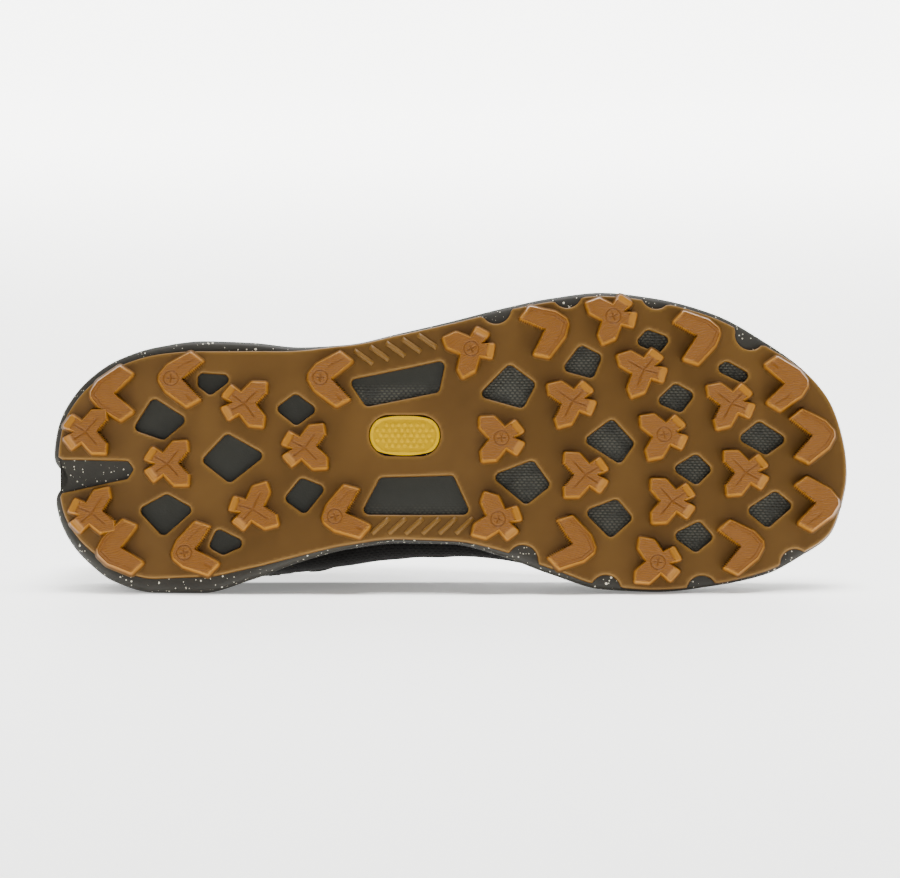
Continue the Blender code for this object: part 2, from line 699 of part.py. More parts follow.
def rib_share(turn, side, below):
    """Share up a rib that lies the given length below its top, by its straight length."""
    length = np.linalg.norm(rib_point(turn, side, 1.0) - rib_point(turn, side, 0.0), axis=-1)
    return 1 - below / length


class UpperGrid:
    """Points of the upper's outer face and their shared numbers, by side, rib and row."""

    def __init__(self):
        self.points = []
        self.ids = {}
        rows = WALL_STEPS + 2
        for side in (LATERAL, MEDIAL):
            for rib, turn in enumerate(TURNS):
                foot_x, foot_y = feather(turn, side)
                base = np.array([foot_x, foot_y, float(seat(foot_x)) + GAP])
                shares = np.linspace(0, 1, WALL_STEPS + 1)
                line = np.vstack([base, rib_point(turn, side, shares)])
                for row in range(rows):
                    self.place(side, rib, row, line[row])
        self.rows = rows

    def place(self, side, rib, row, point):
        on_middle = rib in (0, SIDE_STEPS) or (rib >= THROAT_STEPS and row == WALL_STEPS + 1)
        if side == MEDIAL and on_middle:
            self.ids[side, rib, row] = self.ids[LATERAL, rib, row]
            return
        self.ids[side, rib, row] = len(self.points)
        self.points.append(point)

    def faces(self, ribs, rows):
        """Two triangles for each cell between the given ribs and rows, on both sides."""
        faces = []
        for side in (LATERAL, MEDIAL):
            for rib in ribs:
                for row in rows:
                    corners = [self.ids[side, rib, row], self.ids[side, rib + 1, row],
                               self.ids[side, rib + 1, row + 1], self.ids[side, rib, row + 1]]
                    for triple in (corners[:3], [corners[0], *corners[2:]]):
                        if len(set(triple)) == 3:
                            faces.append(triple if side == LATERAL else triple[::-1])
        return faces

    def patch(self, name, ribs, rows, lift):
        """Mesh of some cells, lifted off the surface along its vertex normals."""
        whole = make_mesh(name + "_guide", self.points, self.faces(range(SIDE_STEPS), range(self.rows - 1)))
        normals = np.array([tuple(vertex.normal) for vertex in whole.vertices])
        bpy.data.meshes.remove(whole)
        faces = self.faces(ribs, rows)
        used = sorted({corner for face in faces for corner in face})
        number = {corner: order for order, corner in enumerate(used)}
        points = np.array(self.points)[used] + normals[used] * lift
        return make_mesh(name, points, [[number[corner] for corner in face] for face in faces])


def eyelet_turns():
    return turn_of(np.linspace(EYELET_FIRST, EYELET_LAST, EYELET_PAIRS))


def eyelet_mesh():
    work = bmesh.new()
    depth = 6 * (UPPER_WALL + OVERLAY_THICK)
    for turn in eyelet_turns():
        for side in (LATERAL, MEDIAL):
            share = rib_share(turn, side, EYELET_INSET)
            centre = Vector(off_rib(turn, side, share, 0))
            facing = Vector(rib_normal(turn, side, share)).to_track_quat("Z", "Y").to_matrix().to_4x4()
            bmesh.ops.create_cone(work, cap_ends=True, segments=8, radius1=EYELET_RADIUS,
                                  radius2=EYELET_RADIUS, depth=depth,
                                  matrix=Matrix.Translation(centre) @ facing)
    mesh = bpy.data.meshes.new("eyelets")
    work.to_mesh(mesh)
    work.free()
    return mesh


def build_upper(grid, textile, eyelets):
    mesh = grid.patch("upper", range(SIDE_STEPS), range(grid.rows - 1), 0)
    round_shading(mesh, 60)
    upper = add_part("upper", mesh, textile)
    solidify(upper, UPPER_WALL, False)
    boolean(upper, "DIFFERENCE", eyelets)
    return upper


def build_overlay(grid, name, ribs, rows, film):
    mesh = grid.patch(name, ribs, rows, GAP)
    round_shading(mesh, 60)
    overlay = add_part(name, mesh, film)
    solidify(overlay, OVERLAY_THICK, True)
    return overlay


def build_insole(fabric):
    """Loose footbed inside the upper's wall, with its top INSOLE_THICK above the seat."""
    inset = LIP_WIDTH + UPPER_WALL + 3 * GAP
    lateral = lip_inset("lip_lateral", TURNS) + inset
    medial = lip_inset("lip_medial", TURNS) + inset
    rings = [ring(lateral, medial, lambda x: seat(x) + GAP),
             ring(lateral, medial, lambda x: seat(x) + GAP + INSOLE_THICK * 0.75),
             ring(lateral + INSOLE_THICK * 0.25, medial + INSOLE_THICK * 0.25,
                  lambda x: seat(x) + GAP + INSOLE_THICK)]
    mesh = make_mesh("insole", *loft_rings(rings))
    face_out(mesh)
    round_shading(mesh)
    return add_part("insole", mesh, fabric)


def tongue_rows():
    """Rows of five points across the tongue's outer face, from under the vamp to its free top."""
    depth = -(UPPER_WALL + 3 * GAP)
    rows = []
    for along, tuck in TONGUE_ROWS:
        turn = float(turn_of(along))
        row = []
        for side in (LATERAL, MEDIAL):
            for below in (TONGUE_TUCK * tuck, TONGUE_TUCK * tuck / 3):
                row.append(off_rib(turn, side, rib_share(turn, side, below), depth))
        edges = [off_rib(turn, side, TONGUE_EDGE, depth) for side in (LATERAL, MEDIAL)]
        centre = (edges[0] + edges[1]) / 2
        rows.append([row[0], row[1], centre, row[3], row[2]])
    crest = rows[-1][2]
    half = TONGUE_TOP_WIDTH / 2
    for share, wide in TONGUE_STEPS:
        middle = crest + np.array([-TONGUE_LEAN * share, 0, TONGUE_RISE * share])
        rows.append([middle + np.array([0, half * wide * across, -TONGUE_CROWN * half * across**2])
                     for across in (-1.0, -0.5, 0.0, 0.5, 1.0)])
    return np.array(rows)


def build_tongue(padding):
    rows = tongue_rows()
    count, width = rows.shape[:2]
    faces = []
    for row in range(count - 1):
        for step in range(width - 1):
            corner = row * width + step
            faces.append([corner, corner + 1, corner + width + 1, corner + width])
    mesh = make_mesh("tongue", rows.reshape(-1, 3), faces)
    if mesh.polygons[0].normal.z < 0:
        mesh.flip_normals()
    round_shading(mesh, 60)
    tongue = add_part("tongue", mesh, padding)
    solidify(tongue, TONGUE_THICK, False)
    return tongue


def lace_strip(turn_from, side_from, turn_to, side_to):
    """Flat strap over the tongue from one eyelet to another, as pairs of edge points."""
    lift = GAP + OVERLAY_THICK + LACE_CLEARANCE
    line, normals = [], []
    for turn, side in ((turn_from, side_from), (turn_to, side_to)):
        end_share = rib_share(turn, side, EYELET_INSET + LACE_WIDTH / 2)
        way = turn_from + turn_to - 2 * turn
        end_turn, edge_turn = turn - LACE_OVERRUN * way, turn + LACE_EDGE * way
        middle_turn, middle_share = (end_turn + edge_turn) / 2, (THROAT_EDGE + end_share) / 2
        for place, share in ((end_turn, end_share), (middle_turn, middle_share), (edge_turn, THROAT_EDGE)):
            line.append(off_rib(place, side, share, lift))
            normals.append(rib_normal(place, side, share))
    order = (0, 1, 2, 5, 4, 3)
    line = np.array(line)[list(order)]
    normals = np.array(normals)[list(order)]
    bridge = normals[2] + normals[3]
    bridge = bridge / np.linalg.norm(bridge)
    normals[2:4] = bridge
    line[2:4] += bridge * LACE_CLEARANCE
    line = np.insert(line, 3, (line[2] + line[3]) / 2, axis=0)
    normals = np.insert(normals, 3, bridge, axis=0)
    across = np.cross(line[-1] - line[0], normals)
    across = across / np.linalg.norm(across, axis=1, keepdims=True) * LACE_WIDTH / 2
    return line - across, line + across


def strap_mesh(name, straps):
    points, faces = [], []
    for left, right in straps:
        first = len(points)
        for number in range(len(left)):
            points += [left[number], right[number]]
        for number in range(len(left) - 1):
            corner = first + 2 * number
            faces.append([corner, corner + 1, corner + 3, corner + 2])
    mesh = make_mesh(name, points, faces)
    work = bmesh.new()
    work.from_mesh(mesh)
    for face in work.faces:
        if face.normal.z < 0:
            face.normal_flip()
    work.to_mesh(mesh)
    work.free()
    return mesh


def build_laces(cord):
    """Crossed straps from eyelet to eyelet, joined where they cross and where they meet."""
    turns = eyelet_turns()
    rising = [lace_strip(turns[-1], LATERAL, turns[-1], MEDIAL)]
    falling = []
    for front, back in zip(turns[:0:-1], turns[-2::-1]):
        rising.append(lace_strip(front, LATERAL, back, MEDIAL))
        falling.append(lace_strip(front, MEDIAL, back, LATERAL))
    laces = add_part("laces", strap_mesh("laces", rising), cord)
    solidify(laces, LACE_THICK, True)
    other = add_cutter("lace_blanks", strap_mesh("lace_blanks", falling))
    solidify(other, LACE_THICK, True)
    boolean(laces, "UNION", other)
    return laces


def evaluated_points(part):
    """World points and triangles of a part as the viewport shows it."""
    depsgraph = bpy.context.evaluated_depsgraph_get()
    result = part.evaluated_get(depsgraph)
    mesh = result.to_mesh()
    mesh.calc_loop_triangles()
    points = np.array([tuple(vertex.co) for vertex in mesh.vertices])
    triangles = np.array([tuple(triangle.vertices) for triangle in mesh.loop_triangles])
    result.to_mesh_clear()
    return points, triangles


def balance_point(parts):
    """Centre of mass in the shoe frame and all the points of the parts."""
    mass, moment, cloud = 0.0, np.zeros(3), []
    for part in parts:
        points, triangles = evaluated_points(part)
        a, b, c = (points[triangles[:, corner]] for corner in range(3))
        volume = np.einsum("ij,ij->i", a, np.cross(b, c)) / 6
        weight = DENSITY.get(part.name, SOFT_DENSITY)
        mass += weight * volume.sum()
        moment += weight * (volume[:, None] * (a + b + c) / 4).sum(axis=0)
        cloud.append(points)
    return moment / mass, np.concatenate(cloud)


def holds(corners, normal, point):
    """True where the point, seen along the normal, lies within the triangle."""
    signs = []
    for number in range(3):
        edge = corners[(number + 1) % 3] - corners[number]
        signs.append(edge.cross(point - corners[number]).dot(normal) > 0)
    return all(signs) or not any(signs)


def lie_down(parts):
    """Turn the shoe onto the hull face that carries it on its medial side, toe towards +X."""
    centre, cloud = balance_point(parts)
    work = bmesh.new()
    for point in cloud:
        work.verts.new(point)
    bmesh.ops.convex_hull(work, input=work.verts)
    bmesh.ops.triangulate(work, faces=work.faces)
    best = None
    for face in work.faces:
        normal = face.normal.copy()
        if normal.dot(face.calc_center_median() - Vector(centre)) < 0:
            normal.negate()
        corners = [vertex.co for vertex in face.verts]
        if holds(corners, normal, Vector(centre)) and (best is None or normal.y > best.y):
            best = normal
    work.free()
    turn = best.rotation_difference(Vector((0, 0, -1))).to_matrix()
    length = turn @ Vector((1, 0, 0))
    turn = Matrix.Rotation(-math.atan2(length.y, length.x), 3, "Z") @ turn
    turned = cloud @ np.array(turn).T
    low, high = turned.min(axis=0), turned.max(axis=0)
    shift = Vector((-(low[0] + high[0]) / 2, -(low[1] + high[1]) / 2, -low[2]))
    shoe_frame.matrix_world = Matrix.Translation(shift) @ turn.to_4x4()


for old in list(bpy.data.objects):
    bpy.data.objects.remove(old, do_unlink=True)

shoe_parts = bpy.data.collections.new("trail_running_shoe")
cutters = bpy.data.collections.new("cutters")
bpy.context.scene.collection.children.link(shoe_parts)
bpy.context.scene.collection.children.link(cutters)
shoe_frame = bpy.data.objects.new("shoe_frame", None)
shoe_parts.objects.link(shoe_frame)

gum_rubber = plain_material("gum_rubber", (0.43, 0.17, 0.045), 0.55)
grey_foam = plain_material("speckled_foam", (0.065, 0.060, 0.050), 0.85)
yellow_rubber = plain_material("yellow_rubber", (0.95, 0.61, 0.01), 0.45)
black_mesh = plain_material("black_mesh", (0.012, 0.010, 0.008), 0.9)
black_film = plain_material("black_film", (0.020, 0.018, 0.016), 0.5)
charcoal_fabric = plain_material("charcoal_fabric", (0.035, 0.033, 0.030), 0.95)
lace_cord = plain_material("lace_cord", (0.045, 0.042, 0.038), 0.9)

grid = UpperGrid()
eyelet_holes = add_cutter("eyelet_cutter", eyelet_mesh())
eyestay = build_overlay(grid, "eyestay", range(THROAT_STEPS - 8, THROAT_STEPS + 2),
                        range(WALL_STEPS - 1, WALL_STEPS + 1), black_film)
boolean(eyestay, "DIFFERENCE", eyelet_holes)
parts = [
    build_outsole(gum_rubber),
    build_badge(yellow_rubber),
    build_midsole(grey_foam),
    build_upper(grid, black_mesh, eyelet_holes),
    build_insole(charcoal_fabric),
    build_tongue(charcoal_fabric),
    eyestay,
    build_overlay(grid, "toe_cap", range(SIDE_STEPS - 7, SIDE_STEPS), range(1, 5), black_film),
    build_overlay(grid, "heel_counter", range(0, 7), range(1, 6), black_film),
    build_laces(lace_cord),
]
bpy.context.view_layer.update()
lie_down(parts)
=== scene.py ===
import json
import math
import bmesh
import bpy
import numpy as np
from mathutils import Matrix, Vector


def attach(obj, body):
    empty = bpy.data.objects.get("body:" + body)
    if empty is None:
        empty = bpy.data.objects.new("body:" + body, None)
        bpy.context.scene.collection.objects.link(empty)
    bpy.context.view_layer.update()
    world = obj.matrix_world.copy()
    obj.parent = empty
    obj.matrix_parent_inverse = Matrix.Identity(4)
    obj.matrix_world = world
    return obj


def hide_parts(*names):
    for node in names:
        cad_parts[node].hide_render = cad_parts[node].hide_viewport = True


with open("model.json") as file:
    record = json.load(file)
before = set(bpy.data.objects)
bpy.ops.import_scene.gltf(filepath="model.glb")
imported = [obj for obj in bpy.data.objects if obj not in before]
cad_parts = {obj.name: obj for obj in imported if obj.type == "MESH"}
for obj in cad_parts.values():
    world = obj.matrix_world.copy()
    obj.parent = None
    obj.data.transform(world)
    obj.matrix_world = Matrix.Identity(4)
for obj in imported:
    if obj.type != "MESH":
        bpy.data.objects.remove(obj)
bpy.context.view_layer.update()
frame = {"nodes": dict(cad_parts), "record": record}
print("frame loaded:", len(frame["nodes"]), "nodes")

# Trail running shoe, right foot, lying on its medial side. Pieces are worked out in the shoe's own
# frame (x from heel to toe, y to the medial side, z up from the ground, metres) and turned into
# place by two lug faces that the record gives as mounts.

shoe = {
    "length": 0.300, "width": 0.112, "quarter": 0.067,
    "heelBevel": 0.009, "heelLiftEnd": 0.20, "toeSpring": 0.021, "ballRock": 0.62,
    "archHeight": 0.003, "archMiddle": 0.445, "archReach": 0.13,
    "lugHeight": 0.0045, "sheetThick": 0.0022, "foamThick": 0.0235, "gap": 0.0003,
    "lipHeight": 0.0040, "lipWidth": 0.0030, "lipClearance": 0.0014,
    "heelLugFace": (0.241, -0.207), "foreLugFace": (0.563, -0.092),
}

# Plan of the sole. Half widths and insets are shares of the ball width.
plan = {
    "along": (0.000, 0.006, 0.020, 0.045, 0.080, 0.130, 0.190, 0.250, 0.310, 0.370, 0.435,
              0.500, 0.565, 0.625, 0.690, 0.755, 0.830, 0.895, 0.942, 0.978, 0.996, 1.000),
    "halfLateral": (0.000, 0.142, 0.222, 0.300, 0.362, 0.405, 0.425, 0.420, 0.405, 0.415, 0.455,
                    0.495, 0.538, 0.572, 0.592, 0.575, 0.525, 0.435, 0.349, 0.240, 0.100, 0.000),
    "halfMedial": (0.000, 0.150, 0.240, 0.320, 0.388, 0.424, 0.425, 0.381, 0.322, 0.276, 0.248,
                   0.252, 0.300, 0.360, 0.410, 0.417, 0.394, 0.353, 0.285, 0.212, 0.080, 0.000),
    "gumLateral": (0.018, 0.018, 0.020, 0.024, 0.027, 0.031, 0.040, 0.034, 0.017, 0.008, 0.010,
                   0.012, 0.014, 0.016, 0.016, 0.016, 0.016, 0.014, 0.006, 0.004, 0.004, 0.004),
    "gumMedial": (0.018, 0.020, 0.028, 0.036, 0.042, 0.046, 0.052, 0.038, 0.020, 0.012, 0.006,
                  0.004, 0.016, 0.018, 0.012, 0.006, 0.006, 0.010, 0.006, 0.004, 0.004, 0.004),
    "lipLateral": (0.030, 0.032, 0.040, 0.055, 0.068, 0.078, 0.080, 0.070, 0.050, 0.035, 0.028,
                   0.028, 0.030, 0.033, 0.035, 0.035, 0.035, 0.040, 0.045, 0.045, 0.045, 0.045),
    "lipMedial": (0.030, 0.032, 0.040, 0.055, 0.070, 0.080, 0.082, 0.065, 0.040, 0.018, 0.008,
                  0.008, 0.015, 0.020, 0.025, 0.028, 0.030, 0.040, 0.045, 0.045, 0.045, 0.045),
}
foam = {
    "along": (0.00, 0.10, 0.20, 0.45, 0.62, 0.70, 0.85, 0.93, 1.00),
    "thick": (0.64, 0.92, 1.00, 0.79, 0.75, 0.70, 0.47, 0.32, 0.20),
}


def unit(rows):
    # Each vector over its own length
    return rows / np.linalg.norm(rows, axis=-1, keepdims=True)


def shoeAxes():
    # Up is against the mount's axis. The run between the two lug faces, whose plan is known, gives
    # the way ahead, and the third axis is square to both.
    mounts = {row["name"]: row for row in frame["record"]["mounts"]}
    heel, fore = (np.array(mounts[name]["pos_m"]) for name in ("heel_lug_face", "fore_lug_face"))
    up = unit(-np.array(mounts["heel_lug_face"]["axis"]))
    heelPlan, forePlan = (np.array(shoe[name]) * (shoe["length"], shoe["width"])
                          for name in ("heelLugFace", "foreLugFace"))
    dx, dy = forePlan - heelPlan
    run = fore - heel
    run = run - up * (run @ up)
    ahead = unit(run * dx - np.cross(up, run) * dy)
    medial = np.cross(up, ahead)
    return np.array([ahead, medial, up]), heel - ahead * heelPlan[0] - medial * heelPlan[1]


axes, origin = shoeAxes()


def smoothCurve(stations, values, at):
    # Monotone cubic: tangents are harmonic means of the slopes beside each station
    stations, values = np.asarray(stations, float), np.asarray(values, float)
    at = np.clip(np.asarray(at, float), stations[0], stations[-1])
    step = np.diff(stations)
    slope = np.diff(values) / step
    inner = slope[:-1] * slope[1:] > 0
    mean = 2 * slope[:-1] * slope[1:] / np.where(inner, slope[:-1] + slope[1:], 1)
    tangent = np.concatenate([slope[:1], np.where(inner, mean, 0), slope[-1:]])
    cell = np.clip(np.searchsorted(stations, at, side="right") - 1, 0, len(step) - 1)
    u = (at - stations[cell]) / step[cell]
    leave, arrive = tangent[cell] * step[cell], tangent[cell + 1] * step[cell]
    return ((2 * u**3 - 3 * u**2 + 1) * values[cell] + (u**3 - 2 * u**2 + u) * leave
            + (3 * u**2 - 2 * u**3) * values[cell + 1] + (u**3 - u**2) * arrive)


def fade(low, high, at):
    # 0 below low, 1 above high, smooth between
    t = np.clip((at - low) / (high - low), 0, 1)
    return t * t * (3 - 2 * t)


def turnOf(along):
    # 0 at the heel, 1 at the toe, so that an even step goes evenly round both ends
    return np.arccos(1 - 2 * np.clip(along, 0, 1)) / math.pi


def alongOf(turn):
    return (1 - np.cos(math.pi * np.asarray(turn, float))) / 2


def tableValue(table, name, turn):
    return smoothCurve(turnOf(np.array(table["along"])), table[name], turn)


# A way round the shoe runs from the toe (-1) along the lateral side to the heel (0) and along the
# medial side back to the toe (1). Its size is the turn, and its sign is the side.


def wrapWay(way):
    return (np.asarray(way, float) + 1) % 2 - 1


def sideValue(table, word, way):
    way = wrapWay(way)
    lateral, medial = (tableValue(table, word + side, np.abs(way)) for side in ("Lateral", "Medial"))
    return np.where(way < 0, lateral, medial)


def groundRise(x):
    # Flat under the middle, a square law up to the heel's back and up to the toe
    along = np.asarray(x, float) / shoe["length"]
    heel = np.maximum(0, 1 - along / shoe["heelLiftEnd"]) ** 2
    toe = np.maximum(0, (along - shoe["ballRock"]) / (1 - shoe["ballRock"])) ** 2
    return shoe["heelBevel"] * heel + shoe["toeSpring"] * toe


def sheetFace(x):
    # Outer face of the rubber sheet: lug height above the ground, and a cosine arch in the waist
    along = np.asarray(x, float) / shoe["length"]
    reach = np.clip(np.abs(along - shoe["archMiddle"]) / shoe["archReach"], 0, 1)
    return groundRise(x) + shoe["lugHeight"] + shoe["archHeight"] * np.cos(reach * math.pi / 2) ** 2


def foamFoot(x):
    return sheetFace(x) + shoe["sheetThick"] + shoe["gap"]


def seat(x):
    along = np.asarray(x, float) / shoe["length"]
    return foamFoot(x) + shoe["foamThick"] * smoothCurve(foam["along"], foam["thick"], along)


def planPoint(way, inset):
    # Point of the sole's outline, moved in by inset along the outline's own normal
    def place(at):
        at = wrapWay(at)
        across = np.sign(at) * sideValue(plan, "half", at) * shoe["width"]
        return shoe["length"] * alongOf(np.abs(at)), across

    step = 0.002
    x, y = place(way)
    (ax, ay), (bx, by) = place(way - step), place(way + step)
    size = np.hypot(bx - ax, by - ay)
    return x + (by - ay) / size * inset, y - (bx - ax) / size * inset


def meshPiece(name, points, faceSets, material, marks=None):
    # Points in the shoe frame go to the row frame. Each face set is an array of rows of corners, and
    # each mark is a value at every point, for the materials.
    mesh = bpy.data.meshes.new(name)
    points = np.asarray(points, float).reshape(-1, 3)
    sets = [np.asarray(rows, np.int32) for rows in faceSets if len(rows)]
    used = np.unique(np.concatenate([rows.ravel() for rows in sets]))
    number = np.zeros(len(points), np.int32)
    number[used] = np.arange(len(used))
    points, sets = points[used], [number[rows] for rows in sets]
    starts, offset = [], 0
    for rows in sets:
        starts.append(offset + np.arange(len(rows)) * rows.shape[1])
        offset += rows.size
    mesh.vertices.add(len(points))
    mesh.vertices.foreach_set("co", (points @ axes + origin).astype(np.float32).ravel())
    mesh.loops.add(offset)
    mesh.loops.foreach_set("vertex_index", np.concatenate([rows.ravel() for rows in sets]))
    mesh.polygons.add(sum(len(rows) for rows in sets))
    mesh.polygons.foreach_set("loop_start", np.concatenate(starts).astype(np.int32))
    mesh.update(calc_edges=True)
    place = mesh.attributes.new("place", "FLOAT_VECTOR", "POINT")
    place.data.foreach_set("vector", points.astype(np.float32).ravel())
    for key, values in (marks or {}).items():
        mark = mesh.attributes.new(key, "FLOAT", "POINT")
        mark.data.foreach_set("value", np.asarray(values, np.float32).ravel()[used])
    work = bmesh.new()
    work.from_mesh(mesh)
    bmesh.ops.remove_doubles(work, verts=work.verts, dist=2e-6)
    bmesh.ops.recalc_face_normals(work, faces=work.faces)
    work.to_mesh(mesh)
    work.free()
    mesh.shade_smooth()
    mesh.materials.append(material)
    piece = bpy.data.objects.new(name, mesh)
    bpy.context.scene.collection.objects.link(piece)
    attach(piece, "root")
    return piece


def gridFaces(rows, columns, wrap=False, first=0):
    # Quads of a grid of rows by columns, whose last column joins the first if it wraps
    row, column = np.meshgrid(np.arange(rows - 1), np.arange(columns - (0 if wrap else 1)), indexing="ij")
    row, column = row.ravel(), column.ravel()
    after = (column + 1) % columns
    return first + np.column_stack([row * columns + column, row * columns + after,
                                    (row + 1) * columns + after, (row + 1) * columns + column])


def fan(ring, hub):
    # Triangles from the edges of a ring of points to one point in its middle
    return np.column_stack([np.roll(ring, -1), ring, np.full(len(ring), hub)])


def pillowFaces(rows, columns, first=0):
    # Two equal grids back to back, closed by a band round their edges
    size = rows * columns
    grid = first + np.arange(size).reshape(rows, columns)
    loop = np.concatenate([grid[:-1, 0], grid[-1, :-1], grid[:0:-1, -1], grid[0, :0:-1]])
    after = np.roll(loop, -1)
    return [gridFaces(rows, columns, first=first), gridFaces(rows, columns, first=first + size)[:, ::-1],
            np.column_stack([loop, after, after + size, loop + size])]


def lengthAlong(path):
    # Length from the start of a path to each of its points
    return np.concatenate([[0], np.cumsum(np.linalg.norm(np.diff(path, axis=0), axis=1))])


# Materials. One helper adds a node, and colours are sRGB hex values.


def linear(colour):
    parts = np.array([int(colour[at:at + 2], 16) for at in (1, 3, 5)]) / 255
    parts = np.where(parts <= 0.04045, parts / 12.92, ((parts + 0.055) / 1.055) ** 2.4)
    return (*parts.tolist(), 1.0)


def addNode(tree, kind, inputs=None, **settings):
    made = tree.nodes.new(kind)
    for key, value in settings.items():
        setattr(made, key, value)
    for key, value in (inputs or {}).items():
        if isinstance(value, bpy.types.NodeSocket):
            tree.links.new(value, made.inputs[key])
        else:
            made.inputs[key].default_value = value
    return made


def newMaterial(name, **sockets):
    material = bpy.data.materials.new(name)
    material.use_nodes = True
    tree = material.node_tree
    shader = tree.nodes["Principled BSDF"]
    for key, value in sockets.items():
        shader.inputs[key.replace("_", " ")].default_value = value
    return material, tree, shader


def readMark(tree, name, output="Fac"):
    return addNode(tree, "ShaderNodeAttribute", attribute_name=name).outputs[output]


def maths(tree, operation, first, second=0.0, clamp=False):
    made = addNode(tree, "ShaderNodeMath", {0: first, 1: second}, operation=operation, use_clamp=clamp)
    return made.outputs[0]


def times(tree, first, second):
    return maths(tree, "MULTIPLY", first, second)


def wave(tree, value, length):
    # Sine that repeats at every such length
    return maths(tree, "SINE", times(tree, value, 2 * math.pi / length))


def hump(tree, value):
    # Half a sine over each whole step of the value
    return maths(tree, "SINE", times(tree, maths(tree, "FRACT", value), math.pi))


def blendColours(tree, factor, first, second):
    made = addNode(tree, "ShaderNodeMix", {0: factor, 6: first, 7: second}, data_type="RGBA")
    return made.outputs[2]


def spread(tree, value, low, high, start=0.0, end=1.0):
    made = addNode(tree, "ShaderNodeMapRange", {0: value, 1: low, 2: high, 3: start, 4: end},
                   interpolation_type="SMOOTHSTEP")
    return made.outputs[0]


def mottled(tree, value, first, second, low=0.3, high=0.7):
    # From one colour at the low value to the other at the high one
    return blendColours(tree, spread(tree, value, low, high), linear(first), linear(second))


def noise(tree, place, size, detail=2.0):
    # size is the width of one blotch in metres
    made = addNode(tree, "ShaderNodeTexNoise", {"Vector": place, "Scale": 1 / size, "Detail": detail})
    return made.outputs[0]


def bump(tree, shader, height, distance, strength=1.0, under=None):
    inputs = {"Height": height, "Distance": distance, "Strength": strength}
    if under is not None:
        inputs["Normal"] = under
    made = addNode(tree, "ShaderNodeBump", inputs)
    tree.links.new(made.outputs[0], shader.inputs["Normal"])
    return made.outputs[0]


# Some of these colours are painted light: the pale rim and edge colours are a painted glow and highlight,
# and the deep lug, hatch and seam colours are painted shade and shadow
gumLook = {
    "sheet": "#5E421B", "sheetDark": "#543A15", "rim": "#7A5926", "lug": "#764712", "lugShade": "#653A10",
    "lugTop": "#784B15", "edge": "#AB7526", "hatchShade": "#5E360E", "seamShadow": "#120E08",
    "roughness": 0.42, "hatchMm": 0.85, "grainMm": 0.25, "hatchDepthMm": 0.10, "grainDepthMm": 0.02,
    "cloudMm": 38.0,
}


def gumRubber():
    # Moulded natural gum rubber: honey brown where thin, orange where it stands up as lugs, and
    # yellow at thin edges and on the lug walls, a painted glow and highlight for light that comes
    # through and falls on them. Satin, with fine cut lines on the lug tops. Lug walls, grooves and
    # cut lines are darkened as painted shade, and the seam where the sheet meets the foam is dark
    # as a painted shadow.
    material, tree, shader = newMaterial("gumRubber", Roughness=gumLook["roughness"], IOR=1.50,
                                         Specular_IOR_Level=0.22)
    place = readMark(tree, "place", "Vector")
    height, rim, cut, across = (readMark(tree, name) for name in ("height", "rim", "cut", "across"))
    cloud = noise(tree, place, gumLook["cloudMm"] / 1000, 3)
    sheet = mottled(tree, cloud, gumLook["sheetDark"], gumLook["sheet"], 0.35)
    # Painted glow: the sheet is paler at its rims, standing in for light through the thin rubber
    sheet = blendColours(tree, rim, sheet, linear(gumLook["rim"]))
    # Painted shade: lug walls darken towards their foot, and the lower step and the grooves darken too
    lug = mottled(tree, height, gumLook["lugShade"], gumLook["lug"], 0.1, 0.95)
    lug = blendColours(tree, spread(tree, height, 0.9, 1.0), lug, linear(gumLook["lugTop"]))
    # Painted light: the edge mark gives lug walls, top edges and lower steps a pale colour, as if lit and
    # lit through
    lug = blendColours(tree, readMark(tree, "edge"), lug, linear(gumLook["edge"]))
    colour = blendColours(tree, spread(tree, height, 0.0, 0.35), sheet, lug)
    # Painted shade in the grooves and pits cut into the lug tops
    colour = blendColours(tree, cut, colour, linear(gumLook["lugShade"]))
    # Painted shadow: dark in the seam at the foot of the rubber's walls
    colour = blendColours(tree, spread(tree, cut, 0.7, 1.0), colour, linear(gumLook["seamShadow"]))
    # Cut lines run along each lug and waver a little
    waver = times(tree, noise(tree, place, 0.004, 1), 0.0016)
    line = wave(tree, maths(tree, "ADD", across, waver), gumLook["hatchMm"] / 1000)
    top = spread(tree, height, 0.97, 1.0)
    hatch = times(tree, spread(tree, line, 0.2, 0.95), top)
    # Painted shade in the cut lines on the lug tops
    colour = blendColours(tree, times(tree, hatch, 0.30), colour, linear(gumLook["hatchShade"]))
    tree.links.new(colour, shader.inputs["Base Color"])
    grain = noise(tree, place, gumLook["grainMm"] / 1000)
    fine = bump(tree, shader, grain, gumLook["grainDepthMm"] / 1000)
    bump(tree, shader, times(tree, hatch, -1.0), gumLook["hatchDepthMm"] / 1000, 1.0, fine)
    return material


foamLook = {
    "base": "#302E28", "baseDark": "#2A2822", "speck": "#E2DCC8", "window": "#24241E", "thread": "#46453B",
    "speckMm": (1.1, 2.0), "speckShare": (0.55, 0.35), "speckSize": (0.26, 0.26), "weaveMm": 1.05,
    "dashShare": 1.7, "roughness": 0.60,
}


def flecks(tree, place, size, share, radius):
    # Round flecks of differing size in some of the cells of a scattered pattern
    cell = addNode(tree, "ShaderNodeTexVoronoi", {"Vector": place, "Scale": 1000 / size, "Randomness": 1.0})
    pick = addNode(tree, "ShaderNodeSeparateColor", {0: cell.outputs["Color"]})
    chosen = maths(tree, "LESS_THAN", pick.outputs[0], share)
    wide = times(tree, pick.outputs[1], radius)
    return times(tree, chosen, maths(tree, "LESS_THAN", cell.outputs["Distance"], wide))


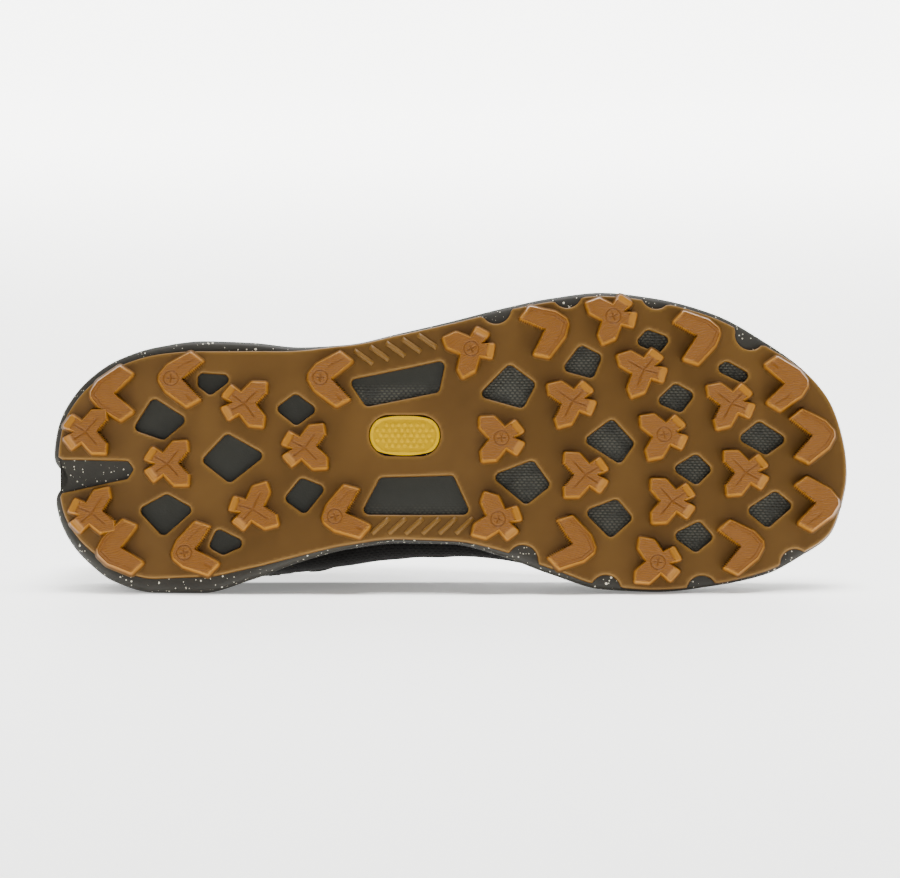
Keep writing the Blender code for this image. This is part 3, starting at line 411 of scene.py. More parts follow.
def speckledFoam():
    # Moulded EVA foam in charcoal with pale flecks of regrind, matt. Where the rubber's windows show
    # it the mould gave it a woven face, with slightly shiny floats.
    material, tree, shader = newMaterial("speckledFoam", Roughness=foamLook["roughness"], IOR=1.48,
                                         Specular_IOR_Level=0.38)
    place = readMark(tree, "place", "Vector")
    base = mottled(tree, noise(tree, place, 0.010, 4), foamLook["baseDark"], foamLook["base"])
    layers = [flecks(tree, place, *row) for row in zip(foamLook["speckMm"], foamLook["speckShare"],
                                                       foamLook["speckSize"])]
    window = readMark(tree, "window")
    fleck = times(tree, maths(tree, "MAXIMUM", *layers), maths(tree, "SUBTRACT", 1.0, window, True))
    colour = blendColours(tree, fleck, base, linear(foamLook["speck"]))
    # The woven face: dashes in rows, every second row shifted by half a dash
    parts = addNode(tree, "ShaderNodeSeparateXYZ", {0: place})
    across = times(tree, parts.outputs[1], 1000 / foamLook["weaveMm"])
    shift = times(tree, maths(tree, "MODULO", maths(tree, "FLOOR", across), 2.0), 0.5)
    along = times(tree, parts.outputs[0], 1000 / (foamLook["dashShare"] * foamLook["weaveMm"]))
    along = maths(tree, "ADD", along, shift)
    dash = times(tree, hump(tree, along), hump(tree, across))
    patchy = spread(tree, noise(tree, place, 0.006), 0.3, 0.62)
    weave = readMark(tree, "weave")
    woven = times(tree, times(tree, spread(tree, dash, 0.2, 0.85), patchy), weave)
    face = blendColours(tree, woven, linear(foamLook["window"]), linear(foamLook["thread"]))
    colour = blendColours(tree, window, colour, face)
    tree.links.new(colour, shader.inputs["Base Color"])
    grain = bump(tree, shader, noise(tree, place, 0.0007, 3), 0.00006, 0.8)
    bump(tree, shader, times(tree, dash, weave), 0.00022, 0.9, grain)
    return material


def yellowRubber():
    # Moulded silicone rubber, strong yellow, smooth and without shine, darker as painted shade
    # where it lies low between the pips and where it sinks at its edge
    material, tree, shader = newMaterial("yellowRubber", Roughness=0.45, IOR=1.5, Specular_IOR_Level=0.0)
    cut = readMark(tree, "cut")
    colour = blendColours(tree, cut, linear("#C8A000"), linear("#987400"))
    tree.links.new(colour, shader.inputs["Base Color"])
    bump(tree, shader, noise(tree, readMark(tree, "place", "Vector"), 0.0004), 0.00002)
    return material


gum, speckled, yellow = gumRubber(), speckledFoam(), yellowRubber()
print("sole materials made")

# Rubber sheet: a regular grid cut to the outline, the windows and the bites at its edge. Corners
# and middles are shares of the shoe's length and of the ball width.

sheetSizes = {
    "cell": 0.0008, "fillet": 0.0005, "windowRound": 0.0021, "slotRound": 0.0010, "scallopRadius": 0.0058,
    "badgeCentre": (0.442, -0.105), "badgeLength": 0.0270, "badgeWidth": 0.0156,
    "slot": ((-0.010, -0.030), (0.095, -0.019), (0.103, 0.010), (0.095, 0.044), (-0.010, 0.100)),
    "scallops": ((0.556, -0.532), (0.645, -0.586), (0.757, -0.586), (0.876, -0.454), (0.590, 0.314),
                 (0.694, 0.414), (0.815, 0.412), (0.933, 0.316)),
}
windows = {
    "heelA": ((0.182, -0.315), (0.233, -0.305), (0.198, -0.234), (0.182, -0.268)),
    "heelB": ((0.126, -0.234), (0.171, -0.156), (0.140, -0.085), (0.100, -0.122)),
    "heelC": ((0.219, -0.112), (0.269, -0.037), (0.223, 0.061), (0.186, -0.017)),
    "heelD": ((0.144, 0.092), (0.180, 0.146), (0.140, 0.241), (0.107, 0.146)),
    "heelE": ((0.207, 0.207), (0.248, 0.261), (0.215, 0.302), (0.196, 0.275)),
    "waistA": ((0.305, -0.247), (0.334, -0.190), (0.306, -0.132), (0.278, -0.193)),
    "waistB": ((0.312, 0.037), (0.345, 0.071), (0.317, 0.166), (0.290, 0.112)),
    "shankLateral": ((0.370, -0.292), (0.494, -0.363), (0.485, -0.251), (0.393, -0.200)),
    "shankMedial": ((0.411, 0.034), (0.503, 0.027), (0.526, 0.163), (0.386, 0.163)),
    "foreA": ((0.532, -0.237), (0.573, -0.349), (0.607, -0.281), (0.590, -0.193)),
    "foreB": ((0.637, -0.325), (0.662, -0.414), (0.690, -0.376), (0.678, -0.295)),
    "foreC": ((0.729, -0.417), (0.746, -0.468), (0.777, -0.437), (0.761, -0.383)),
    "foreD": ((0.828, -0.336), (0.846, -0.366), (0.877, -0.322), (0.867, -0.288)),
    "foreE": ((0.664, -0.088), (0.702, -0.166), (0.731, -0.081), (0.712, -0.007)),
    "foreF": ((0.549, 0.031), (0.603, -0.024), (0.626, 0.064), (0.594, 0.132)),
    "foreG": ((0.665, 0.149), (0.708, 0.105), (0.729, 0.173), (0.700, 0.244)),
    "foreH": ((0.755, -0.220), (0.781, -0.288), (0.807, -0.251), (0.789, -0.183)),
    "foreI": ((0.775, 0.003), (0.808, -0.051), (0.829, 0.003), (0.808, 0.061)),
    "foreJ": ((0.775, 0.227), (0.812, 0.176), (0.831, 0.234), (0.807, 0.288)),
    "foreK": ((0.858, -0.102), (0.887, -0.166), (0.925, -0.105), (0.896, -0.047)),
    "foreL": ((0.869, 0.139), (0.908, 0.068), (0.932, 0.119), (0.898, 0.200)),
}


def fromShares(corners):
    return np.array(corners, float) * (shoe["length"], shoe["width"])


def polygonDistance(x, y, corners):
    # Distance to the nearest edge, negative inside, where a ray to the right crosses an odd number
    best, inside = np.full(x.shape, np.inf), np.zeros(x.shape, bool)
    for (ax, ay), (bx, by) in zip(corners, np.roll(corners, -1, axis=0)):
        ex, ey = bx - ax, by - ay
        t = np.clip(((x - ax) * ex + (y - ay) * ey) / (ex * ex + ey * ey), 0, 1)
        best = np.minimum(best, (x - ax - t * ex) ** 2 + (y - ay - t * ey) ** 2)
        crosses = (ay > y) != (by > y)
        inside ^= crosses & (x < ax + (y - ay) * ex / np.where(ey == 0, 1, ey))
    return np.where(inside, -1, 1) * np.sqrt(best)


def grow(outline, distance):
    # Every edge of a closed outline, counterclockwise, moved out by the same distance
    edges = np.roll(outline, -1, axis=0) - outline
    normals = unit(np.column_stack([edges[:, 1], -edges[:, 0]]))
    before = np.roll(normals, 1, axis=0)
    return outline + (normals + before) / (1 + np.sum(normals * before, axis=1))[:, None] * distance


def roundedDistance(x, y, corners, radius):
    # Distance to an outline with round corners: a smaller outline, grown back by the radius.
    # Only points near the outline are worked out, and the others are far outside.
    area = np.sum(corners[:, 0] * np.roll(corners[:, 1], -1) - corners[:, 1] * np.roll(corners[:, 0], -1))
    corners = corners if area > 0 else corners[::-1]
    low, high = corners.min(axis=0) - 0.004, corners.max(axis=0) + 0.004
    near = (x > low[0]) & (x < high[0]) & (y > low[1]) & (y < high[1])
    found = np.full(x.shape, 1.0)
    found[near] = polygonDistance(x[near], y[near], grow(corners, -radius)) - radius
    return found


def badgeDistance(x, y, inset=0.0):
    # Oval with straight sides: distance to its middle line less half its width
    centre = fromShares([sheetSizes["badgeCentre"]])[0]
    straight = (sheetSizes["badgeLength"] - sheetSizes["badgeWidth"]) / 2
    off = np.maximum(np.abs(x - centre[0]) - straight, 0)
    return np.hypot(off, y - centre[1]) - sheetSizes["badgeWidth"] / 2 + inset


def gumOutline(count=340):
    way = np.linspace(-1, 1, count, endpoint=False)
    return np.column_stack(planPoint(way, sideValue(plan, "gum", way) * shoe["width"]))


rubberEdge = gumOutline()


def windowDistance(x, y):
    nearest = np.full(x.shape, 1.0)
    for corners in windows.values():
        nearest = np.minimum(nearest, roundedDistance(x, y, fromShares(corners), sheetSizes["windowRound"]))
    return nearest


def rubberDistance(x, y):
    # Negative on rubber: inside the outline and outside every window, bite, slot and badge
    edge = polygonDistance(x, y, rubberEdge)
    edge = np.maximum(edge, -windowDistance(x, y))
    edge = np.maximum(edge, -roundedDistance(x, y, fromShares(sheetSizes["slot"]), sheetSizes["slotRound"]))
    edge = np.maximum(edge, -badgeDistance(x, y))
    for cx, cy in fromShares(sheetSizes["scallops"]):
        edge = np.maximum(edge, sheetSizes["scallopRadius"] - np.hypot(x - cx, y - cy))
    return edge


def slopeOf(distance, x, y, step=0.0001):
    # Unit gradient by small steps each way, and how steep it is
    dx = distance(x + step, y) - distance(x - step, y)
    dy = distance(x, y + step) - distance(x, y - step)
    size = np.maximum(np.hypot(dx, dy), 1e-9)
    return dx / size, dy / size, size / (2 * step)


def openEdges(quads):
    # Directed edges of the quads that no neighbour runs the other way
    pairs = np.concatenate([quads[:, [k, (k + 1) % 4]] for k in range(4)])
    size = int(quads.max()) + 1
    return pairs[~np.isin(pairs[:, 0] * size + pairs[:, 1], pairs[:, 1] * size + pairs[:, 0])]


def cutSheet(xs, ys, distance, place, thick, fillet):
    # A cell stays if its middle is inside. Rim points slide down the gradient to the fillet's
    # inner line, and a quarter round and a wall are carried round the rim from there. Two marks
    # come with the points: one is pale on the rim, a painted glow for light through the thin
    # rubber, and the other is dark at the wall's foot, a painted shadow in the seam.
    x, y = (part.ravel() for part in np.meshgrid(xs, ys, indexing="ij"))
    quads = gridFaces(len(xs), len(ys))
    quads = quads[distance(x[quads].mean(axis=1), y[quads].mean(axis=1)) < -fillet]
    used, compact = np.unique(quads, return_inverse=True)
    quads = compact.reshape(quads.shape)
    x, y = x[used], y[used]
    rim = openEdges(quads)
    around = np.unique(rim)
    for _ in range(2):
        gx, gy, steep = slopeOf(distance, x[around], y[around])
        off = (distance(x[around], y[around]) + fillet) / np.maximum(steep, 0.8)
        x[around] -= gx * off
        y[around] -= gy * off
    gx, gy, _ = slopeOf(distance, x[around], y[around])
    points, rimGlows = [place(x, y, 0.0)], [fade(-0.0012, -0.0001, distance(x, y)) * 0.8]
    cuts = [np.zeros(len(x))]
    profile = [(fillet * math.sin(a), fillet * (1 - math.cos(a))) for a in (0.5, 1.0, math.pi / 2)]
    profile += [(fillet, thick * 0.8), (fillet + 0.00028, thick)]
    order = np.full(len(x), -1)
    order[around] = np.arange(len(around))
    count, last, walls = len(x), around, []
    start, end = order[rim[:, 0]], order[rim[:, 1]]
    for out, down in profile:
        points.append(place(x[around] + gx * out, y[around] + gy * out, down))
        foot = float(down > thick * 0.9)
        rimGlows.append(np.full(len(around), 1.0 - foot))
        cuts.append(np.full(len(around), foot))
        now = count + np.arange(len(around))
        walls.append(np.column_stack([last[end], last[start], now[start], now[end]]))
        count, last = count + len(around), now
    back = place(x, y, thick)
    back[around] = points[-1]
    mapping = count + np.arange(len(x))
    mapping[around] = last
    spare = np.zeros(len(x))
    points, rimGlows, cuts = (np.concatenate([*front, behind]) for front, behind in
                          ((points, back), (rimGlows, spare), (cuts, spare)))
    return points, [quads[:, ::-1], *walls, mapping[quads]], rimGlows, cuts


def gumMarks(count, **given):
    # The marks that the gum's look reads: zero everywhere unless given
    return {key: given.get(key, np.zeros(count)) for key in ("height", "rim", "cut", "edge", "across")}


def buildSheet():
    def place(x, y, down):
        return np.column_stack([x, y, sheetFace(x) + down])

    xs = np.arange(-0.002, shoe["length"] + 0.002, sheetSizes["cell"])
    ys = np.arange(-0.068, 0.050, sheetSizes["cell"])
    thick = shoe["sheetThick"] + shoe["gap"] * 0.8
    points, faces, rim, cut = cutSheet(xs, ys, rubberDistance, place, thick, sheetSizes["fillet"])
    return meshPiece("outsole_sheet", points, faces, gum, gumMarks(len(points), rim=rim, cut=cut))


sheet = buildSheet()
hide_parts("outsole")
print("rubber sheet:", len(sheet.data.polygons), "faces")

# Lugs: a half outline in millimetres for each kind, from the short arms or the point backwards

lugs = {
    "cross": ((4.1, 0.0), (8.3, 2.3), (5.4, 6.3), (1.5, 3.7), (-2.4, 8.1), (-7.7, 8.3), (-7.9, 4.5),
              (-4.2, 0.0)),
    "chevron": ((3.2, 1.0), (0.4, 4.9), (-7.9, 10.2), (-12.8, 7.1), (-5.2, 0.0)),
    "teethMm": 0.85, "toothDepthMm": 0.70, "stepMm": 0.42, "roundTo": (0.30, 0.15),
    "ringMm": 2.75, "grooveMm": 0.34, "grooveDepthMm": 0.34, "chevronCentreMm": -1.2,
    "draftMm": 0.8, "flareMm": 0.7, "stepFrom": 5.9, "stepDrop": 0.30,
    # From the sheet up: share of the draft and of the flare outside the top outline, and height
    "wall": ((1.0, 1.0, -0.06), (1.0, 0.45, 0.04), (0.95, 0.15, 0.13), (0.85, 0.0, 0.25), (0.5, 0.0, 0.55),
             (0.12, 0.0, 0.86), (0.0, 0.0, 0.93)),
    # From the top's outline in to the circle: share of the way still to go
    "inward": (0.985, 0.95, 0.90, 0.83, 0.74, 0.63, 0.50, 0.36, 0.22, 0.10, 0.0),
    "crossLines": ((4.2, 2.6), (4.2, -2.6), (-4.3, 5.0), (-4.3, -5.0)), "tickMm": 1.5,
    # A long slit out along one arm and a short pit near the other's end: side, ends and width
    "slits": ((-1, (-3.8, 4.4), (-9.0, 7.5), 0.35), (1, (-8.2, 6.4), (-9.4, 7.6), 0.9)),
    "slitDepthMm": 0.28, "bevelMm": 1.5, "bevelDropMm": 0.28, "bevelGrooveMm": 0.30,
}
# Place as shares, turn in degrees from the toe to the lateral side, mark on top, and the edges
# with teeth, counted round the outline from the middle line ahead
lugRows = (
    ("cross", 0.525, -0.393, 26, "ring", ()), ("cross", 0.703, -0.505, 22, "ring", ()),
    ("cross", 0.741, -0.325, 19, "cross", ()), ("cross", 0.652, -0.217, 14, "cross", (6, 7)),
    ("cross", 0.563, -0.092, 3, "ring", ()), ("cross", 0.668, 0.031, 0, "cross", (6, 7)),
    ("cross", 0.559, 0.180, -16, "ring", ()), ("cross", 0.767, -0.108, 11, "ring", ()),
    ("cross", 0.777, 0.115, 1, "cross", ()), ("cross", 0.852, -0.217, 13, "cross", (6, 7)),
    ("cross", 0.870, 0.014, 4, "cross", (6, 7)), ("cross", 0.759, 0.322, -6, "ring", ()),
    ("cross", 0.042, -0.115, 180, "cross", (6, 7)), ("cross", 0.145, -0.004, 182, "cross", (6, 7)),
    ("cross", 0.241, -0.207, 176, "cross", (7,)), ("cross", 0.252, 0.149, 196, "cross", (6,)),
    ("cross", 0.317, -0.058, 185, "cross", (7,)), ("cross", 0.050, 0.159, 189, "cross", (6, 7)),
    ("chevron", 0.635, -0.475, 21, "bevel", (4,)), ("chevron", 0.826, -0.454, 15, "bevel", (4,)),
    ("chevron", 0.938, -0.292, 3, "pits", ()), ("chevron", 0.972, -0.122, 7, "bevel", (4, 5)),
    ("chevron", 0.977, 0.108, 5, "pit", (4,)), ("chevron", 0.881, 0.258, 8, "bevel", (4, 5)),
    ("chevron", 0.669, 0.275, -14, "bevel", (4, 5)), ("chevron", 0.145, -0.292, 176, "ringPits", (4, 5)),
    ("chevron", 0.059, -0.241, 181, "bevel", ()), ("chevron", 0.332, -0.295, 176, "ringPits", (4,)),
    ("chevron", 0.351, 0.176, 197, "ringPits", (5,)), ("chevron", 0.163, 0.298, 194, "ringPits", (5,)),
    ("chevron", 0.069, 0.286, 190, "bevel", ()),
)


def lugOutline(kind, teeth, depth=0.0):
    # The half outline and its mirror image. Toothed edges zigzag inwards, every edge is cut into
    # short steps, and each point moves a little to the middle of its neighbours to round corners.
    half = np.array(lugs[kind], float)
    whole = np.concatenate([half, half[half[:, 1] > 0][::-1] * (1, -1)])
    first = 1 if kind == "chevron" else 0
    corners = []
    for number, (start, end) in enumerate(zip(whole, np.roll(whole, -1, axis=0))):
        length = np.hypot(*(end - start))
        toothed = number + first in teeth
        count = max(1, round(length / lugs["stepMm"]))
        if toothed:
            count = 4 * max(2, round(length / lugs["teethMm"])) + 1
        t = np.linspace(0, 1, count + 1)[:-1]
        inward = np.array([-(end - start)[1], (end - start)[0]]) / length
        zigzag = (np.arange(count) % 4 > 1) * depth * toothed
        corners.append(start + (end - start) * t[:, None] + inward * zigzag[:, None])
    line = np.concatenate(corners)
    for share in lugs["roundTo"]:
        middle = (np.roll(line, 1, axis=0) + np.roll(line, -1, axis=0)) / 2
        line = line + (middle - line) * share
    return line / 1000


def segmentDistance(x, y, start, end):
    ex, ey = end[0] - start[0], end[1] - start[1]
    t = np.clip(((x - start[0]) * ex + (y - start[1]) * ey) / (ex * ex + ey * ey), 0, 1)
    return np.hypot(x - start[0] - t * ex, y - start[1] - t * ey)


def lineDip(x, y, start, end, width, depth):
    # Groove along a straight line with soft sides
    return depth * (1 - fade(width / 2, width, segmentDistance(x, y, start, end)))


def topMark(kind, mark, x, y, share):
    # Depth in millimetres of what is cut into a lug's top, at places in millimetres
    dip = np.zeros(x.shape)
    centre = lugs["chevronCentreMm"] if kind == "chevron" else 0.0
    groove, deep, ring = lugs["grooveMm"], lugs["grooveDepthMm"], lugs["ringMm"]
    if mark in ("ring", "ringPits"):
        dip = np.maximum(dip, deep * (1 - fade(groove / 2, groove, np.abs(np.hypot(x - centre, y) - ring))))
        for ex, ey in ((0.0, lugs["tickMm"]), (lugs["tickMm"], 0.0)):
            tick = lineDip(x, y, (centre - ex, -ey), (centre + ex, ey), groove, deep)
            dip = np.maximum(dip, tick)
    if mark == "cross":
        for end in lugs["crossLines"]:
            dip = np.maximum(dip, lineDip(x, y, (0, 0), end, 1.4 * groove, deep))
    if mark in ("pits", "ringPits", "pit"):
        for side, (sx, sy), (ex, ey), wide in lugs["slits"][:1 if mark == "pit" else 2]:
            slit = lineDip(x, y, (sx, side * sy), (ex, side * ey), wide, lugs["slitDepthMm"])
            dip = np.maximum(dip, slit)
    if mark == "bevel":
        # A groove runs beside the two outer edges, and the band outside it slopes down
        nose = np.full(x.shape, np.inf)
        for start, end in zip(lugs["chevron"][:2], lugs["chevron"][1:3]):
            nose = np.minimum(nose, segmentDistance(x, np.abs(y), start, end))
        line = lugs["bevelGrooveMm"] * (1 - fade(0.10, 0.30, np.abs(nose - lugs["bevelMm"])))
        dip = np.maximum(np.maximum(dip, line), lugs["bevelDropMm"] * fade(lugs["bevelMm"], 0.2, nose))
    return dip * fade(1.0, 0.93, share)


def buildLug(kind, along, across, turn, mark, teeth):
    # Walls are the outline grown by draft and flare at each height. The top runs from the outline
    # in to circles round the middle, and from there to one centre point.
    line, calm = lugOutline(kind, teeth, lugs["toothDepthMm"]), lugOutline(kind, teeth)
    edges = np.roll(calm, -1, axis=0) - np.roll(calm, 1, axis=0)
    normal = unit(np.column_stack([edges[:, 1], -edges[:, 0]]))
    centre = np.array([lugs["chevronCentreMm"] / 1000 if kind == "chevron" else 0.0, 0.0])
    radial = calm - centre
    reach = np.linalg.norm(radial, axis=1)[:, None]
    rings = []
    for draft, flare, height in lugs["wall"]:
        out = (draft * lugs["draftMm"] + flare * lugs["flareMm"]) / 1000
        rings.append((line + normal * out, height, 1.3))
    ring = lugs["ringMm"] / 1000
    inner = (ring + 0.0005) * radial / reach
    for share in lugs["inward"]:
        place = centre + inner + (radial - inner) * share + (line - calm) * fade(0.90, 0.985, share)
        rings.append((place, 0.985 if share > 0.98 else 1.0, share))
    besideGroove = [ring + off for off in (0.0003, 0.0001, -0.0001, -0.0003)]
    for size in (*besideGroove, ring * 0.7, ring * 0.45, ring * 0.2, 0.0):
        rings.append((centre + radial / reach * size, 1.0, 0.0))
    flat = np.concatenate([row[0] for row in rings])
    height, share = (np.repeat([row[k] for row in rings], len(line)) for k in (1, 2))
    dip = topMark(kind, mark, flat[:, 0] * 1000, flat[:, 1] * 1000, share) * (height > 0.95)
    # The short arms of a cross end in a lower step
    (ax, ay), (bx, by) = np.array(lugs["cross"][1:3])
    run = unit(np.array([ax + bx, ay + by]))
    out = (flat[:, 0] * run[0] + np.abs(flat[:, 1]) * run[1]) * 1000 * (kind == "cross")
    stepped = fade(lugs["stepFrom"], lugs["stepFrom"] + 0.25, out)
    height = np.minimum(height, 1 - lugs["stepDrop"] * stepped - 0.12 * fade(6.2, 8.0, out))
    angle = math.radians(turn)
    spin = np.array([[math.cos(angle), -math.sin(angle)], [-math.sin(angle), -math.cos(angle)]])
    middle = np.array([along * shoe["length"], across * shoe["width"]])
    x, y = (flat @ spin.T + middle).T
    step = 0.001
    slope = (groundRise(middle[0] + step) - groundRise(middle[0] - step)) / (2 * step)
    top = groundRise(middle[0]) + slope * (x - middle[0])
    z = sheetFace(x) * (1 - height) + top * height + dip / 1000
    # Painted light: walls, the top's outer edge and a cross's lower step take the pale edge colour, as if
    # lit and lit through
    paintedGlow = np.where(share > 1, 0.75 * fade(0.1, 0.7, height), 0.55 * fade(0.90, 0.99, share))
    paintedGlow = np.maximum(paintedGlow, 0.6 * stepped * (share <= 1))
    # Painted shade: the lower step and the grooves get a lower height mark and so the darker lug colour
    heightAndShade = np.clip(np.where(share <= 1, 1 - 0.3 * stepped, height) - dip / 12, 0, 1)
    marks = gumMarks(len(z), height=heightAndShade, cut=np.clip(dip / 0.5, 0, 1) * 0.5, edge=paintedGlow, across=flat[:, 1])
    return np.column_stack([x, y, z]), len(line), marks


def buildLugs(name, rows):
    points, faces, marks, first = [], [], [], 0
    for row in rows:
        placed, count, made = buildLug(*row)
        levels = len(placed) // count
        points.append(placed)
        faces.append(gridFaces(levels, count, True, first))
        # The root is closed by a fan round its own middle, out of sight in the sheet
        points.append(placed[:count].mean(axis=0, keepdims=True))
        hub = first + len(placed)
        faces.append(fan(first + np.arange(count), hub))
        marks.append({key: np.append(values, 0.0) for key, values in made.items()})
        first = hub + 1
    joined = {key: np.concatenate([made[key] for made in marks]) for key in marks[0]}
    piece = meshPiece(name, np.concatenate(points), faces, gum, joined)
    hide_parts("outsole")
    return piece


for name, low, high in (("outsole_heel_lugs", 0, 0.4), ("outsole_ball_lugs", 0.4, 0.72),
                        ("outsole_toe_lugs", 0.72, 1)):
    rows = [row for row in lugRows if low <= row[1] < high]
    piece = buildLugs(name, rows)
    print(name + ":", len(rows), "lugs,", len(piece.data.polygons), "faces")

# Shank ribs: low bars with round backs, laid in two slanting rows

shankRibs = {
    "length": 0.0090, "width": 0.0020, "height": 0.0013, "along": 25, "around": 11,
    "rows": ({"first": (0.390, -0.368), "step": (0.0200, -0.0138), "count": 5, "turn": 35},
             {"first": (0.412, 0.200), "step": (0.0210, 0.000), "count": 6, "turn": -42}),
}


def buildShankRibs():
    # Each bar is a half ellipse across and fades out at both ends
    u, v = np.meshgrid(np.linspace(-1, 1, shankRibs["along"]), np.linspace(-1, 1, shankRibs["around"]),
                       indexing="ij")
    lift = np.sqrt(np.clip(1 - v**2, 0, 1)) * (1 - np.abs(u) ** 6)
    points, faces, first = [], [], 0
    for row in shankRibs["rows"]:
        angle = math.radians(row["turn"])
        run = np.array([math.cos(angle), math.sin(angle)])
        side = np.array([-math.sin(angle), math.cos(angle)])
        for number in range(row["count"]):
            share = np.array(row["first"]) + number * np.array(row["step"])
            middle = share * (shoe["length"], shoe["width"])
            x, y = (middle[k] + run[k] * u * shankRibs["length"] / 2 + side[k] * v * shankRibs["width"] / 2
                    for k in (0, 1))
            for z in (sheetFace(x) - shankRibs["height"] * lift + 0.0001, sheetFace(x) + 0.0006):
                points.append(np.stack([x, y, z], -1).reshape(-1, 3))
            faces += pillowFaces(*u.shape, first=first)
            first += 2 * u.size
    # The ribs carry the pale rim colour all over, a painted highlight for glare on their round backs
    piece = meshPiece("outsole_shank_ribs", np.concatenate(points), faces, gum,
                      gumMarks(first, rim=np.full(first, 0.55)))
    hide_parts("outsole")


buildShankRibs()
print("shank ribs made")

# Midsole: side wall profile carried round the plan, and a woven underside

midsoleSizes = {
    "around": 300, "across": 60, "groove": 0.0014, "notchAcross": 0.037, "notchWidth": 0.0046,
    "notchDepth": 0.0052, "notchReach": 0.006, "notchFrom": 0.80, "notchTop": 0.97,
    "topAcross": 12, "lipRound": 0.0004,
    # From the foot up: share of the lip inset, share of the groove and share of the height
    "lip": (0.00, 0.00, 0.00, 0.00, 0.10, 0.22, 0.26, 0.28, 0.31, 0.34, 0.38, 0.42, 0.62, 0.85, 0.96, 1.00),
    "dent": (1.30, 0.55, 0.15, 0.00, 0.00, 0.05, 0.35, 0.95, 1.05, 0.95, 0.30, 0.00, -0.1, 0.00, 0.10, 0.30),
    "height": (0.00, 0.02, 0.06, 0.14, 0.28, 0.40, 0.44, 0.47, 0.505, 0.54, 0.575, 0.60, 0.76, 0.90, 0.97,
               1.00),
}


def heelNotch(x, y, share):
    # The heel's back is pressed in by a bell curve across, which dies away up the wall and ahead
    bell = np.exp(-((y - midsoleSizes["notchAcross"] * shoe["width"]) / midsoleSizes["notchWidth"]) ** 2)
    away = np.exp(-x / midsoleSizes["notchReach"])
    up = 1 - fade(midsoleSizes["notchFrom"], midsoleSizes["notchTop"], share)
    return x + midsoleSizes["notchDepth"] * bell * away * up


def ringPoints(ways, inset, height):
    x, y = planPoint(ways, inset)
    return np.column_stack([x, y, height(x)])


def capGrid(ring, columns, height):
    # Rungs from the lateral to the medial half of a ring, each cut into columns, with z from height
    half = len(ring) // 2
    lateral, medial = ring[:half + 1], np.concatenate([ring[:1], ring[:half - 1:-1]])
    t = np.linspace(0, 1, columns + 1)[None, :, None]
    grid = lateral[:, None, :] * (1 - t) + medial[:, None, :] * t
    grid[..., 2] = height(grid[..., 0])
    return grid


def buildMidsole():
    ways = np.linspace(-1, 1, 2 * midsoleSizes["around"], endpoint=False)
    lips = sideValue(plan, "lip", ways) * shoe["width"]
    rings = []
    for lip, dent, share in zip(midsoleSizes["lip"], midsoleSizes["dent"], midsoleSizes["height"]):
        made = ringPoints(ways, lip * lips + dent * midsoleSizes["groove"],
                          lambda x, s=share: foamFoot(x) + (seat(x) + shoe["lipHeight"] - foamFoot(x)) * s)
        made[:, 0] = heelNotch(made[:, 0], made[:, 1], share)
        rings.append(made)
    inner = ringPoints(ways, lips + shoe["lipWidth"], seat)
    rings.append(inner + (0, 0, shoe["lipHeight"] - midsoleSizes["lipRound"]))
    rings.append(inner)
    count = len(rings[0])
    points = [np.concatenate(rings)]
    faces = [gridFaces(len(rings), count, True)]
    foot = capGrid(rings[0], midsoleSizes["across"], foamFoot)
    top = capGrid(inner, midsoleSizes["topAcross"], seat)
    for cap in (foot, top):
        first = sum(len(part) for part in points)
        faces.append(gridFaces(cap.shape[0], cap.shape[1], first=first))
        points.append(cap.reshape(-1, 3))
    points = np.concatenate(points)
    window = np.zeros(len(points))
    under = slice(count * len(rings), count * len(rings) + foot.shape[0] * foot.shape[1])
    window[under] = 1 - fade(0.001, 0.002, windowDistance(points[under, 0], points[under, 1]))
    # The foam's face is woven from the shank on, and over a part of the two shank windows
    along, across = points[:, 0] / shoe["length"], points[:, 1] / shoe["width"]
    sides = fade(0.11, 0.19, across) + fade(-0.29, -0.25, across) * (across < 0)
    weave = fade(0.33, 0.36, along) * np.where(along < 0.53, sides, 1.0)
    piece = meshPiece("midsole_foam", points, faces, speckled, {"window": window, "weave": weave * window})
    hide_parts("midsole")
    return piece


midsole = buildMidsole()
print("midsole:", len(midsole.data.polygons), "faces")

# Yellow inset in the shank: a plain oval with a raised rim round a field of small pips

insetSizes = {"thick": 0.0016, "rim": 0.0011, "pipRadius": 0.00075, "pipPitch": 0.0023, "pipHeight": 0.0005,
              "pipClear": 0.0016, "sunk": 0.0004, "rimFoot": 0.0004, "rimRound": 0.0003,
              "rimHeight": 0.0006, "around": 180, "across": 44}


